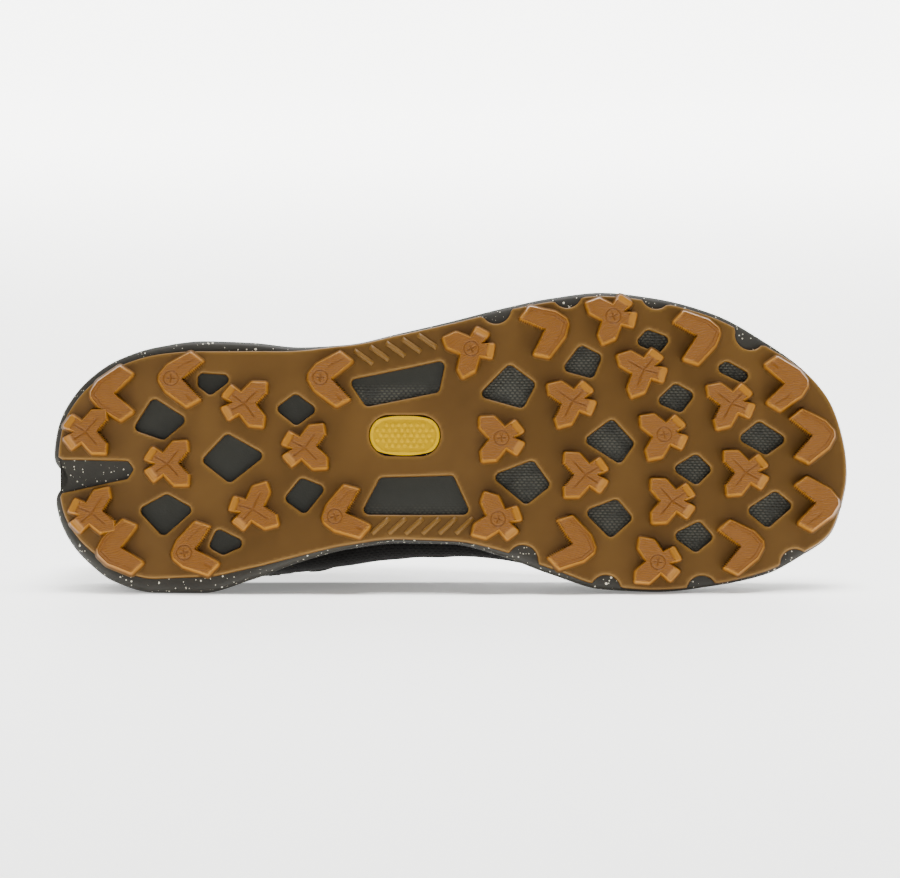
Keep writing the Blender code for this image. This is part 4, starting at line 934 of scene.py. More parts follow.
def buildInset():
    # Rings of the oval at even distances in from its edge. Pips stand on a hexagonal pattern
    # where they are clear of the rim.
    centre = fromShares([sheetSizes["badgeCentre"]])[0]
    radius = sheetSizes["badgeWidth"] / 2 - shoe["gap"]
    straight = (sheetSizes["badgeLength"] - sheetSizes["badgeWidth"]) / 2
    angle = np.linspace(0, 2 * math.pi, insetSizes["around"], endpoint=False)
    side = np.clip(np.cos(angle) * 1.6, -1, 1) * straight
    share = np.linspace(1, 0, insetSizes["across"])
    share = np.concatenate([share[:1], share])[:, None]
    x = (centre[0] + side * (0.15 + 0.85 * share) + radius * share * np.cos(angle)).ravel()
    y = (centre[1] + radius * share * np.sin(angle)).ravel()
    inside = -badgeDistance(x, y, shoe["gap"])
    rim = insetSizes["rim"]
    rimLift = fade(0, insetSizes["rimFoot"], inside) * (1 - fade(rim, rim + insetSizes["rimRound"], inside))
    rimLift *= insetSizes["rimHeight"]
    pitch = insetSizes["pipPitch"]
    rowStep = pitch * math.sqrt(3) / 2
    row = np.round((y - centre[1]) / rowStep)
    column = np.round((x - centre[0]) / pitch - (row % 2) / 2) + (row % 2) / 2
    px, py = centre[0] + column * pitch, centre[1] + row * rowStep
    clear = -badgeDistance(px, py) > rim + insetSizes["pipClear"]
    dome = np.sqrt(np.clip(1 - np.hypot(x - px, y - py) ** 2 / insetSizes["pipRadius"] ** 2, 0, 1)) * clear
    lift = np.maximum(rimLift, dome * insetSizes["pipHeight"])
    face = sheetFace(x) + insetSizes["sunk"] - lift
    count = len(angle)
    face[:count] = sheetFace(x[:count]) + shoe["sheetThick"]
    # Painted shade: darker on the low field round the pips, and darkest on the outer ring where the oval
    # sinks into the sheet
    cut = (1 - fade(0.00005, 0.0003, lift)) * 0.35
    cut[:count] = 1.0
    points = np.column_stack([x, y, face])
    hub = np.array([[centre[0], centre[1], sheetFace(centre[0]) + shoe["sheetThick"]]])
    base, last = np.arange(count), len(points) - count
    faces = [gridFaces(len(share), count, True), fan(base, len(points)),
             fan(last + base[::-1], len(points) + 1)]
    top = np.array([[centre[0], centre[1], face[last:].mean()]])
    cut = np.append(cut, (1.0, 0.35))
    piece = meshPiece("badge_oval", np.concatenate([points, hub, top]), faces, yellow, {"cut": cut})
    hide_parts("badge_inset")


buildInset()
print("yellow inset made")

# Upper. Each row is a rib: where it starts and ends along the shoe, half the opening's width, its
# middle, the height of its top, and the shares that shape its Bezier curve.

upper = {
    "along": (0.00, 0.03, 0.07, 0.13, 0.20, 0.27, 0.33, 0.38, 0.41, 0.49, 0.57, 0.65, 0.69, 0.71, 0.79,
              0.87, 0.94, 1.00),
    "top": (0.036, 0.052, 0.086, 0.136, 0.200, 0.270, 0.325, 0.375, 0.400, 0.470, 0.550, 0.640, 0.688,
            0.705, 0.765, 0.830, 0.885, 0.930),
    "half": (0.000, 0.115, 0.215, 0.285, 0.315, 0.315, 0.280, 0.220, 0.185, 0.165, 0.155, 0.125, 0.065,
             0.000, 0.000, 0.000, 0.000, 0.000),
    "ridge": (0.000, 0.000, 0.000, 0.000, 0.000, 0.000, 0.005, 0.010, 0.010, 0.010, 0.000, -0.010,
              -0.018, -0.020, -0.030, -0.035, -0.030, -0.020),
    "height": (1.000, 0.980, 0.890, 0.770, 0.720, 0.720, 0.820, 0.960, 1.000, 0.900, 0.770, 0.655, 0.590,
               0.570, 0.500, 0.430, 0.360, 0.300),
    "lift": (0.35, 0.35, 0.35, 0.35, 0.38, 0.38, 0.36, 0.34, 0.34, 0.36, 0.40, 0.46, 0.48, 0.50, 0.52,
             0.55, 0.60, 0.65),
    "bellyLateral": (0.040, 0.050, 0.060, 0.070, 0.070, 0.050, 0.040, 0.040, 0.040, 0.040, 0.040, 0.040,
                     0.040, 0.040, 0.040, 0.040, 0.040, 0.040),
    "bellyMedial": (0.040, 0.050, 0.060, 0.075, 0.085, 0.110, 0.140, 0.160, 0.165, 0.150, 0.090, 0.045,
                    0.035, 0.030, 0.030, 0.030, 0.040, 0.040),
    "shoulder": (0.25, 0.25, 0.25, 0.25, 0.25, 0.25, 0.25, 0.30, 0.35, 0.45, 0.50, 0.55, 0.58, 0.60,
                 0.60, 0.60, 0.60, 0.60),
    "drop": (0.35, 0.35, 0.35, 0.30, 0.30, 0.30, 0.30, 0.25, 0.20, 0.12, 0.08, 0.05, 0.02, 0.00, 0.00,
             0.00, 0.00, 0.00),
    "throatEnd": 0.71, "eyeletFirst": 0.42, "eyeletLast": 0.665, "eyeletPairs": 6,
    "wall": 0.0022, "film": 0.0010, "eyeletInset": 0.0070, "eyeletRadius": 0.0021,
    "padding": 0.0042, "puff": 0.0007, "step": 0.004,
    # Ribs beside the throat and over the vamp, and points up, over and down each
    "throatRibs": 150, "vampRibs": 71, "upCount": 84, "overCount": 9, "downCount": 30,
}
# Soft troughs across the upper where a foot bends it: middle along the shoe, how far it slants
# over the rib, half width along, depth in millimetres, and the shares of the rib it fades in and
# is full at
creases = ((0.655, 0.03, 0.0070, 0.55, 0.35, 0.70), (0.705, 0.02, 0.0080, 0.70, 0.45, 0.80),
           (0.752, 0.00, 0.0075, 0.55, 0.50, 0.85), (0.640, -0.02, 0.0060, -0.35, 0.40, 0.75),
           (0.680, 0.02, 0.0070, -0.40, 0.45, 0.80), (0.728, 0.01, 0.0075, -0.40, 0.50, 0.85),
           (0.300, 0.10, 0.0110, 0.60, 0.25, 0.60), (0.335, 0.10, 0.0100, -0.35, 0.25, 0.60),
           (0.245, -0.08, 0.0120, 0.45, 0.20, 0.50), (0.480, 0.05, 0.0140, 0.45, 0.10, 0.35))
throatTurn = float(turnOf(upper["throatEnd"]))


def feather(way):
    # Where the upper's outer face meets the seat, just inside the foam's lip
    inset = sideValue(plan, "lip", way) * shoe["width"] + shoe["lipWidth"] + shoe["gap"]
    return planPoint(way, inset)


def ribPoint(way, share):
    # Bezier rib from above the lip, out over the belly, in at the shoulder, to the top edge
    way, share = np.broadcast_arrays(wrapWay(way), np.asarray(share, float))
    turn, side = np.abs(way), np.where(way < 0, -1.0, 1.0)
    footX, footY = feather(way)
    foot = np.stack([footX, footY, seat(footX) + shoe["lipHeight"] + shoe["lipClearance"]], -1)
    topX = shoe["length"] * tableValue(upper, "top", turn)
    topY = shoe["width"] * (tableValue(upper, "ridge", turn) + side * tableValue(upper, "half", turn))
    top = np.stack([topX, topY, seat(topX) + shoe["quarter"] * tableValue(upper, "height", turn)], -1)
    rise = (top - foot)[..., 2]
    outX, outY = planPoint(way, 0)
    out = unit(np.stack([outX - footX, outY - footY, 0 * footX], -1))
    belly = foot + out * (shoe["width"] * sideValue(upper, "belly", way))[..., None]
    belly[..., 2] = foot[..., 2] + rise * tableValue(upper, "lift", turn)
    shoulder = top + (foot - top) * tableValue(upper, "shoulder", turn)[..., None]
    shoulder[..., 2] = top[..., 2] - rise * tableValue(upper, "drop", turn)
    t = share[..., None]
    return foot * (1 - t)**3 + belly * 3 * t * (1 - t)**2 + shoulder * 3 * t**2 * (1 - t) + top * t**3


def ribNormal(way, share):
    # Up the rib crossed with along the shoe. On the ridge of the vamp both sides share one normal.
    way, share = np.broadcast_arrays(wrapWay(way), np.asarray(share, float))

    def slopeCross(at):
        along = ribPoint(at + upper["step"], share) - ribPoint(at - upper["step"], share)
        high, low = np.minimum(share + upper["step"], 1), np.maximum(share - upper["step"], 0)
        return unit(np.cross(ribPoint(at, high) - ribPoint(at, low), along))

    normal = slopeCross(way)
    ridge = (share > 0.999) & (np.abs(way) > throatTurn - 1e-6)
    return np.where(ridge[..., None], unit(normal + slopeCross(-way)), normal)


def ribLength(way):
    return np.linalg.norm(ribPoint(way, 1.0) - ribPoint(way, 0.0), axis=-1)


def shareBelow(way, below):
    # Share up a rib of the place so far below its top, by the rib's straight length
    return 1 - below / ribLength(way)


def creaseDepth(way, share):
    # Bell-shaped troughs, each slanting a little up the rib, in metres inwards
    along = alongOf(np.abs(wrapWay(way)))
    total = np.zeros(np.broadcast(way, share).shape)
    for middle, slant, wide, deep, low, full in creases:
        bell = np.exp(-((along - middle - slant * (share - 0.7)) / (wide * 1.3)) ** 2)
        total = total + bell * deep * 0.001 * fade(low, full, share)
    return total


def collarShare(way, share):
    # 1 on the padded collar: behind the eyelets and over the top third of the ribs
    along = alongOf(np.abs(wrapWay(way)))
    return (1 - fade(0.34, 0.46, along)) * fade(0.52, 0.80, share)


def offRib(way, share, lift):
    # Point at a height over the upper's outer face, with its creases and the collar's puff
    way, share = np.broadcast_arrays(np.asarray(way, float), np.asarray(share, float))
    lift = lift - creaseDepth(way, share) + upper["puff"] * collarShare(way, share)
    return ribPoint(way, share) + ribNormal(way, share) * lift[..., None]


def buildUpper():
    # One closed wall: up the outer face, round over the edge while the throat is open, down the
    # lining and back under. Across the vamp the two sides' ribs meet on the ridge.
    up, over, down = upper["upCount"], upper["overCount"], upper["downCount"]
    turns = np.concatenate([np.linspace(0, throatTurn, upper["throatRibs"]),
                            np.linspace(throatTurn, 1, upper["vampRibs"])[1:]])
    ways = np.concatenate([-turns[::-1], turns[1:]])
    column = ways[:, None]
    outShares, inShares = np.linspace(0, 1, up)[None], np.linspace(1, 0, down)[None]
    outer = offRib(column, outShares, 0.0)
    thick = upper["wall"] + upper["padding"] * collarShare(column, inShares)
    inner = offRib(column, inShares, 0.0) - ribNormal(column, inShares) * thick[..., None]
    footX, footY = feather(ways)
    base = np.column_stack([footX, footY, seat(footX) + shoe["gap"]])[:, None]
    wallX, wallY = planPoint(ways, sideValue(plan, "lip", ways) * shoe["width"] + shoe["lipWidth"]
                             + shoe["gap"] + upper["wall"])
    innerBase = np.column_stack([wallX, wallY, seat(wallX) + shoe["gap"]])[:, None]
    # Round edge: half an ellipse from the outer face to the lining, flat where the throat ends
    angle = np.linspace(0, math.pi, over + 2)[1:-1]
    middle, half = (outer[:, -1] + inner[:, 0]) / 2, (outer[:, -1] - inner[:, 0]) / 2
    rise = unit(ribPoint(ways, 1.0) - ribPoint(ways, 0.97))
    reach = np.minimum(np.linalg.norm(half, axis=1), 0.8 * shoe["width"]
                       * tableValue(upper, "half", np.abs(wrapWay(ways))))
    edge = (middle[:, None] + half[:, None] * np.cos(angle)[None, :, None]
            + (rise * reach[:, None])[:, None] * np.sin(angle)[None, :, None])
    profile = np.concatenate([base, outer, edge, inner, innerBase], axis=1)
    rows, columns = profile.shape[:2]
    faces = gridFaces(rows, columns, True)
    column = np.tile(np.arange(columns), rows - 1)
    row = np.repeat(np.arange(rows - 1), columns)
    rolled = (column >= up) & (column <= up + over)
    beside = np.maximum(np.abs(ways[row]), np.abs(ways[row + 1])) <= throatTurn + 1e-9
    faces = faces[~rolled | beside]
    shares = np.concatenate([[-0.1], outShares[0], np.full(over, 1.0), inShares[0], [0.0]])
    inside = (np.arange(columns) > up + (over + 1) // 2).astype(float)
    run = lengthAlong(ribPoint(ways, 0.5))
    marks = {"runU": np.repeat(run, columns), "runV": np.outer(ribLength(ways), shares),
             "inside": np.tile(inside, rows), "along": np.repeat(alongOf(np.abs(ways)), columns)}
    piece = meshPiece("upper_mesh", profile, [faces], knit, marks)
    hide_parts("upper")
    return piece


fabricLook = {
    "yarn": "#0E0C0A", "yarnHighlight": "#1C1915", "hole": "#050404", "lining": "#1E1C1A",
    "liningPale": "#2B2926", "pitchMm": 2.1, "rowShare": 0.86, "yarnMm": 0.55, "liningMm": 1.3,
}


def repeatCell(tree, value, pitch, shift=None):
    # Place within one repeat of the pattern, from -0.5 to 0.5
    scaled = times(tree, value, 1 / pitch)
    if shift is not None:
        scaled = maths(tree, "ADD", scaled, shift)
    return maths(tree, "SUBTRACT", maths(tree, "FRACT", scaled), 0.5)


def knittedMesh():
    # Engineered polyester mesh, near black: open holes in offset rows on the forefoot, closed
    # towards the heel, with fine yarns between them, paler on their tops as painted highlights. The
    # lining inside is brushed charcoal.
    material, tree, shader = newMaterial("engineeredMesh", Roughness=0.85, IOR=1.5, Specular_IOR_Level=0.10)
    u, v, inside, along = (readMark(tree, name) for name in ("runU", "runV", "inside", "along"))
    pitch = fabricLook["pitchMm"] / 1000
    rowHeight = pitch * fabricLook["rowShare"]
    row = maths(tree, "FLOOR", times(tree, v, 1 / rowHeight))
    shift = times(tree, maths(tree, "MODULO", row, 2.0), 0.5)
    cellU, cellV = repeatCell(tree, u, pitch, shift), repeatCell(tree, v, rowHeight)
    spot = maths(tree, "SQRT", maths(tree, "ADD", times(tree, cellU, cellU), times(tree, cellV, cellV)))
    opening = maths(tree, "SUBTRACT", 1.0, spread(tree, spot, 0.20, 0.34))
    airy = times(tree, spread(tree, along, 0.22, 0.50), maths(tree, "SUBTRACT", 1.0, inside))
    opening = times(tree, opening, maths(tree, "ADD", times(tree, airy, 0.75), 0.25))
    yarnWide = fabricLook["yarnMm"] / 1000
    yarn = times(tree, wave(tree, u, yarnWide), wave(tree, v, 1.6 * yarnWide))
    # Painted highlight: the yarns' tops are paler
    colour = mottled(tree, yarn, fabricLook["yarn"], fabricLook["yarnHighlight"], 0.1, 0.9)
    colour = blendColours(tree, opening, colour, linear(fabricLook["hole"]))
    place = readMark(tree, "place", "Vector")
    soft = noise(tree, place, fabricLook["liningMm"] / 1000, 4)
    lining = mottled(tree, soft, fabricLook["lining"], fabricLook["liningPale"])
    colour = blendColours(tree, inside, colour, lining)
    tree.links.new(colour, shader.inputs["Base Color"])
    relief = maths(tree, "SUBTRACT", times(tree, yarn, 0.3), opening)
    fine = bump(tree, shader, noise(tree, place, 0.0009, 3), 0.00008, 0.6)
    bump(tree, shader, relief, 0.00035, 0.9, fine)
    return material


def weldedFilm():
    # Thermoplastic film welded on: smooth, satin, very fine pebble grain
    material, tree, shader = newMaterial("weldedFilm", Roughness=0.52, IOR=1.5, Specular_IOR_Level=0.22)
    place = readMark(tree, "place", "Vector")
    colour = mottled(tree, noise(tree, place, 0.02), "#0C0B0A", "#12110F")
    tree.links.new(colour, shader.inputs["Base Color"])
    bump(tree, shader, noise(tree, place, 0.0008), 0.00003, 0.8)
    return material


def brushedFabric():
    # Brushed knit on foam for the tongue and the footbed: matt, with a soft nap and a fine rib
    material, tree, shader = newMaterial("brushedFabric", Roughness=0.93, IOR=1.45, Sheen_Weight=0.10,
                                         Sheen_Roughness=0.5, Specular_IOR_Level=0.3)
    place = readMark(tree, "place", "Vector")
    colour = mottled(tree, noise(tree, place, 0.0016, 4), "#1C1A18", "#2A2825")
    tree.links.new(colour, shader.inputs["Base Color"])
    parts = addNode(tree, "ShaderNodeSeparateXYZ", {0: place})
    rib = wave(tree, parts.outputs[1], 0.0011)
    nap = bump(tree, shader, noise(tree, place, 0.0005, 3), 0.0001, 0.7)
    bump(tree, shader, rib, 0.00008, 0.8, nap)
    return material


def laceYarn():
    # Flat woven polyester lace: a herringbone of two slanting sets of yarns, matt, darker in the
    # troughs and paler on the crests as painted shade and painted highlights
    material, tree, shader = newMaterial("laceYarn", Roughness=0.78, IOR=1.5, Sheen_Weight=0.10,
                                         Sheen_Roughness=0.4, Specular_IOR_Level=0.3)
    u, v = readMark(tree, "runU"), readMark(tree, "runV")
    lean = maths(tree, "ABSOLUTE", repeatCell(tree, v, 0.0025))
    slant = maths(tree, "ADD", u, times(tree, lean, 0.0025))
    weave = wave(tree, slant, 0.0009)
    # Painted highlights on the crests of the slanting yarns, painted shade in the troughs
    colour = mottled(tree, weave, "#171614", "#3A3833", -0.6, 0.8)
    tree.links.new(colour, shader.inputs["Base Color"])
    bump(tree, shader, weave, 0.00018, 0.9)
    return material


knit, film, brushed, lace = knittedMesh(), weldedFilm(), brushedFabric(), laceYarn()
upperPiece = buildUpper()
print("upper:", len(upperPiece.data.polygons), "faces")

# Films on the upper, cut from a flat sheet whose two sides are lengths along and across it

filmSizes = {"cell": 0.0008, "fillet": 0.00035, "round": 0.005, "sunk": 0.0002, "spare": 0.001, "steps": 160,
             "capTurns": 0.70, "capShare": 0.50, "counterTurns": 0.35, "counterShare": 0.625,
             "stayBack": 0.60, "stayFront": 0.20, "stayShare": 0.25}


def boxDistance(x, y, low, high, radius):
    # Box with round corners: distance outside its smaller inner box, less the radius
    dx = np.maximum(low[0] + radius - x, x - high[0] + radius)
    dy = np.maximum(low[1] + radius - y, y - high[1] + radius)
    return np.hypot(np.maximum(dx, 0), np.maximum(dy, 0)) + np.minimum(np.maximum(dx, dy), 0) - radius


def layFilm(name, node, run, high, distance, wayOf, shareOf):
    # Film over part of the upper, from a flat x along the shoe and y up or down the ribs
    def place(x, y, down):
        way = wayOf(x)
        lift = shoe["gap"] + upper["film"] - down
        return offRib(way, shareOf(way, y), lift)

    cell, spare = filmSizes["cell"], filmSizes["spare"]
    xs, ys = np.arange(run[0] - spare, run[-1] + spare, cell), np.arange(-0.0002, high + spare, cell)
    thick = upper["film"] + shoe["gap"] + filmSizes["sunk"]
    points, faces = cutSheet(xs, ys, distance, place, thick, filmSizes["fillet"])[:2]
    piece = meshPiece(name, points, faces, film)
    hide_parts(node)


def buildEndFilm(name, node, middle, reach, runShare, topShare, droop):
    # Film round one end of the shoe, up from the lip. Its top edge is highest on the middle line
    # and falls away to both sides by the droop.
    turns = middle + np.linspace(-reach, reach, filmSizes["steps"] + 1)
    run = lengthAlong(ribPoint(turns, runShare))
    run -= run[filmSizes["steps"] // 2]
    high = topShare * ribLength(middle)

    def distance(x, y):
        top = high * (1 - droop * (np.abs(x) / run[-1]) ** 2)
        return boxDistance(x, y / top * high, (run[0], 0.0004), (run[-1], high), filmSizes["round"])

    layFilm(name, node, run, high, distance, lambda x: np.interp(x, run, turns),
            lambda way, y: np.clip(y / high * topShare, 0, 1))


eyeletTurns = turnOf(np.linspace(upper["eyeletFirst"], upper["eyeletLast"], upper["eyeletPairs"]))


def buildEyestay():
    # A strip down each side of the throat, punched at the eyelets, that runs past the throat's end
    back, front = filmSizes["stayBack"] * throatTurn, throatTurn + filmSizes["stayFront"] * (1 - throatTurn)
    for side, name in ((-1, "eyestay_lateral"), (1, "eyestay_medial")):
        turns = np.linspace(back, front, filmSizes["steps"] + 1)
        run = lengthAlong(ribPoint(side * turns, 0.9))
        wide = filmSizes["stayShare"] * ribLength(side * turns)
        eyelets = np.interp(eyeletTurns, turns, run)

        def distance(x, y):
            edge = np.interp(x, run, wide) * (1 - 0.45 * fade(run[-1] - 0.016, run[-1], x))
            found = boxDistance(x, y, (run[0], 0.0003), (run[-1], edge), 0.003)
            for at in eyelets:
                hole = np.hypot(x - at, y - upper["eyeletInset"])
                found = np.maximum(found, upper["eyeletRadius"] - hole)
            return found

        layFilm(name, "eyestay", run, wide.max(), distance, lambda x: side * np.interp(x, run, turns),
                lambda way, y: np.clip(shareBelow(way, y), 0, 1))


buildEndFilm("toe_film", "toe_cap", 1.0, filmSizes["capTurns"] * (1 - throatTurn), 0.25,
             filmSizes["capShare"], 0.0)
buildEndFilm("heel_film", "heel_counter", 0.0, filmSizes["counterTurns"] * throatTurn, 0.35,
             filmSizes["counterShare"], 0.25)
buildEyestay()
print("films laid")


def splineWeights(count, at):
    # Catmull-Rom weights of the stations for places between them, one row a place
    at = np.clip(np.asarray(at, float), 0, count - 1)
    cell = np.minimum(at.astype(int), count - 2)
    t = at - cell
    weights = np.zeros((len(at), count))
    rows = np.arange(len(at))
    terms = ((-1, -t / 2 + t**2 - t**3 / 2), (0, 1 - 2.5 * t**2 + 1.5 * t**3),
             (1, t / 2 + 2 * t**2 - 1.5 * t**3), (2, -t**2 / 2 + t**3 / 2))
    for offset, term in terms:
        np.add.at(weights, (rows, np.clip(cell + offset, 0, count - 1)), term)
    return weights


# Tongue: rows of five points under the throat's edges and one free end, made a smooth padded sheet

tongueSizes = {
    "rows": ((0.730, 1.0), (0.695, 1.0), (0.655, 1.0), (0.600, 1.0), (0.550, 1.0), (0.500, 1.0),
             (0.455, 0.8), (0.420, 0.3)),
    "free": ((0.3, 0.78), (1.0, 1.0)), "thick": 0.0040, "topWidth": 0.0420, "rise": 0.0280,
    "lean": 0.0170, "tuck": 0.0120, "crown": 0.22, "edge": 0.995, "puff": 0.0012, "corner": 0.009,
    "channel": 0.0007, "along": 120, "across": 61,
}


def tongueRows():
    depth = -(upper["wall"] + 3 * shoe["gap"])
    rows = []
    for along, tuck in tongueSizes["rows"]:
        turn = float(turnOf(along))
        belows = np.array([tongueSizes["tuck"] * tuck, tongueSizes["tuck"] * tuck / 3])
        lateral, medial = (offRib(side, shareBelow(side, belows), depth) for side in (-turn, turn))
        left, right = (offRib(side, tongueSizes["edge"], depth) for side in (-turn, turn))
        rows.append(np.array([lateral[0], lateral[1], (left + right) / 2, medial[1], medial[0]]))
    crest, half = rows[-1][2], tongueSizes["topWidth"] / 2
    across = np.linspace(-1, 1, 5)[:, None]
    for share, wide in tongueSizes["free"]:
        middle = crest + np.array([-tongueSizes["lean"] * share, 0, tongueSizes["rise"] * share])
        sag = tongueSizes["crown"] * half * across**2 * (0, 0, 1)
        rows.append(middle + half * across * (0, wide, 0) - sag)
    return np.array(rows)


def buildTongue():
    # Middle sheet by splines, then a pillow over and under it: half its thickness times a
    # superellipse that closes at the edges, with a channel down each side of the padding
    table = tongueRows()
    u, v = np.linspace(0, len(table) - 1, tongueSizes["along"]), np.linspace(0, 4, tongueSizes["across"])
    sheet = np.einsum("ui,ijk,vj->uvk", splineWeights(len(table), u), table, splineWeights(5, v))
    along, across = np.gradient(sheet, axis=0), np.gradient(sheet, axis=1)
    normal = unit(np.cross(along, across))
    normal = normal * np.sign(normal[len(u) // 2, len(v) // 2, 2])
    uu, vv = np.meshgrid(u / u[-1], v / 2 - 1, indexing="ij")
    # The free end is rounded: its corners are drawn back along the tongue
    corner = tongueSizes["corner"] * np.abs(vv) ** 3.5 * fade(0.80, 1.0, uu)
    sheet = sheet - unit(along) * corner[..., None]
    close = (1 - np.abs(vv) ** 10) ** 0.5 * (1 - np.abs(2 * uu - 1) ** 40) ** 0.5
    half = tongueSizes["thick"] / 2
    channel = np.exp(-((np.abs(vv) - 0.62) / 0.05) ** 2) + np.exp(-((uu - 0.955) / 0.012) ** 2)
    swell = tongueSizes["puff"] * np.clip(np.cos(vv * math.pi / 1.5), 0, 1) * fade(0.74, 0.86, uu)
    groove = tongueSizes["channel"] * np.clip(channel, 0, 1)
    over = sheet + normal * (half * (close - 1) + swell * close - groove * close)[..., None]
    under = sheet - normal * (half * (close + 1))[..., None]
    piece = meshPiece("tongue_padded", np.stack([over, under]), pillowFaces(len(u), len(v)), brushed)
    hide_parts("tongue")


buildTongue()
print("tongue made")

# Footbed: rings of the seat's outline with a rounded top edge and a shallow dish

insoleSizes = {"thick": 0.0040, "dish": 0.0012, "around": 360, "across": 20,
               "rings": ((0.0, 0.0), (0.0, 0.15), (0.0, 0.60), (0.10, 0.80), (0.30, 0.94), (0.60, 1.0))}


def buildInsole():
    def level(height):
        return lambda x: seat(x) + shoe["gap"] + insoleSizes["thick"] * height

    ways, across = np.linspace(-1, 1, insoleSizes["around"], endpoint=False), insoleSizes["across"]
    inset = sideValue(plan, "lip", ways) * shoe["width"] + shoe["lipWidth"] + upper["wall"] + 3 * shoe["gap"]
    rings = [ringPoints(ways, inset + out * insoleSizes["thick"], level(height))
             for out, height in insoleSizes["rings"]]
    foot, top = capGrid(rings[0], across, level(0)), capGrid(rings[-1], across, level(1))
    t, turn = np.linspace(-1, 1, across + 1)[None], np.linspace(0, math.pi, len(top))[:, None]
    top[..., 2] -= insoleSizes["dish"] * (1 - t**2) ** 1.5 * np.sin(turn) ** 0.5
    points, faces = [np.concatenate(rings)], [gridFaces(len(rings), len(ways), True)]
    for cap in (foot, top):
        faces.append(gridFaces(cap.shape[0], cap.shape[1], first=sum(len(part) for part in points)))
        points.append(cap.reshape(-1, 3))
    piece = meshPiece("footbed", np.concatenate(points), faces, brushed)
    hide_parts("insole")


buildInsole()
print("footbed made")

# Laces: flat straps with round edges, out of one eyelet, over the tongue and into another

laceSizes = {"width": 0.0050, "thick": 0.0014, "along": 70, "around": 20, "over": 0.0011, "bow": 0.0012,
             "hole": 0.62, "edgeShare": 0.985, "edgeRun": 0.20, "brim": 0.0022, "sunk": 0.0018,
             "brimRun": 0.06, "brimLift": 0.0004, "edgeLift": 0.0008}


def laceStrap(wayFrom, wayTo, over):
    # Stations: inside the hole, at its rim, at the throat's edge, the middle, and the same again
    stations, normals = [], []
    lift = shoe["gap"] + upper["film"] + laceSizes["thick"] / 2
    for start, end in ((wayFrom, wayTo), (wayTo, wayFrom)):
        turnShift = (abs(end) - abs(start)) * math.copysign(1, start)
        hole = shareBelow(start, upper["eyeletInset"])
        brim = shareBelow(start, upper["eyeletInset"] - laceSizes["brim"])
        rows = ((start, hole, -laceSizes["sunk"]), (start, hole, lift * 0.4),
                (start + laceSizes["brimRun"] * turnShift, brim, lift + laceSizes["brimLift"]),
                (start + laceSizes["edgeRun"] * turnShift, laceSizes["edgeShare"],
                 lift + laceSizes["edgeLift"]))
        stations.append([offRib(*row) for row in rows])
        normals.append([ribNormal(*row[:2]) for row in rows])
    top = unit(normals[0][3] + normals[1][3])
    middle = (stations[0][3] + stations[1][3]) / 2 + top * (laceSizes["bow"] + over)
    quarters = [(stations[k][3] * 2 + middle) / 3 + top * over * 0.6 for k in (0, 1)]
    line = np.array([*stations[0], quarters[0], middle, quarters[1], *stations[1][::-1]])
    facing = np.array([*normals[0], top, top, top, *normals[1][::-1]])
    weights = splineWeights(len(line), np.linspace(0, len(line) - 1, laceSizes["along"]))
    path, face = weights @ line, unit(weights @ facing)
    tangent = unit(np.gradient(path, axis=0))
    across = unit(np.cross(line[-2] - line[1], face))
    up = unit(np.cross(across, tangent))
    angle = np.linspace(0, 2 * math.pi, laceSizes["around"], endpoint=False)
    # Superellipse section, narrower where the strap is pulled into the hole
    flat = np.sign(np.cos(angle)) * np.abs(np.cos(angle)) ** 0.5 * laceSizes["width"] / 2
    tall = np.sign(np.sin(angle)) * np.abs(np.sin(angle)) ** 0.8 * laceSizes["thick"] / 2
    t = np.linspace(0, 1, laceSizes["along"])
    narrow = laceSizes["hole"] + (1 - laceSizes["hole"]) * fade(0.05, 0.2, np.minimum(t, 1 - t))
    points = (path[:, None] + across[:, None] * (flat[None] * narrow[:, None])[..., None]
              + up[:, None] * np.repeat(tall[None], len(t), 0)[..., None])
    return points, np.repeat(lengthAlong(path), len(angle)), np.tile(flat, len(t))


def buildLaces():
    pairs = [(-eyeletTurns[-1], eyeletTurns[-1], 0.0)]
    for front, back in zip(eyeletTurns[:0:-1], eyeletTurns[-2::-1]):
        pairs += [(-front, back, 0.0), (front, -back, laceSizes["over"])]
    points, faces, u, v, first = [], [], [], [], 0
    for start, end, over in pairs:
        strap, run, wide = laceStrap(start, end, over)
        rows, columns = strap.shape[:2]
        # Both ends are closed by a point in the middle of the section
        points += [strap.reshape(-1, 3), strap[[0, -1]].mean(axis=1)]
        u += [run, run[[0, -1]]]
        v += [wide, np.zeros(2)]
        faces.append(gridFaces(rows, columns, True, first))
        base, hub = first + np.arange(columns), first + rows * columns
        faces += [fan(base, hub), fan(base[::-1] + (rows - 1) * columns, hub + 1)]
        first = hub + 2
    piece = meshPiece("lace_straps", np.concatenate(points), faces, lace,
                      {"runU": np.concatenate(u), "runV": np.concatenate(v)})
    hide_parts("laces")


buildLaces()
print("laces made")

# Stitches: small capsules pressed into the cloth along seams, evenly spaced by length

stitchSizes = {"pitch": 0.0030, "length": 0.0021, "width": 0.00055, "along": 9, "around": 8}


def alongPath(at, run, rows):
    # A path's rows, read at lengths along it
    return np.column_stack([np.interp(at, run, rows[:, k]) for k in range(3)])


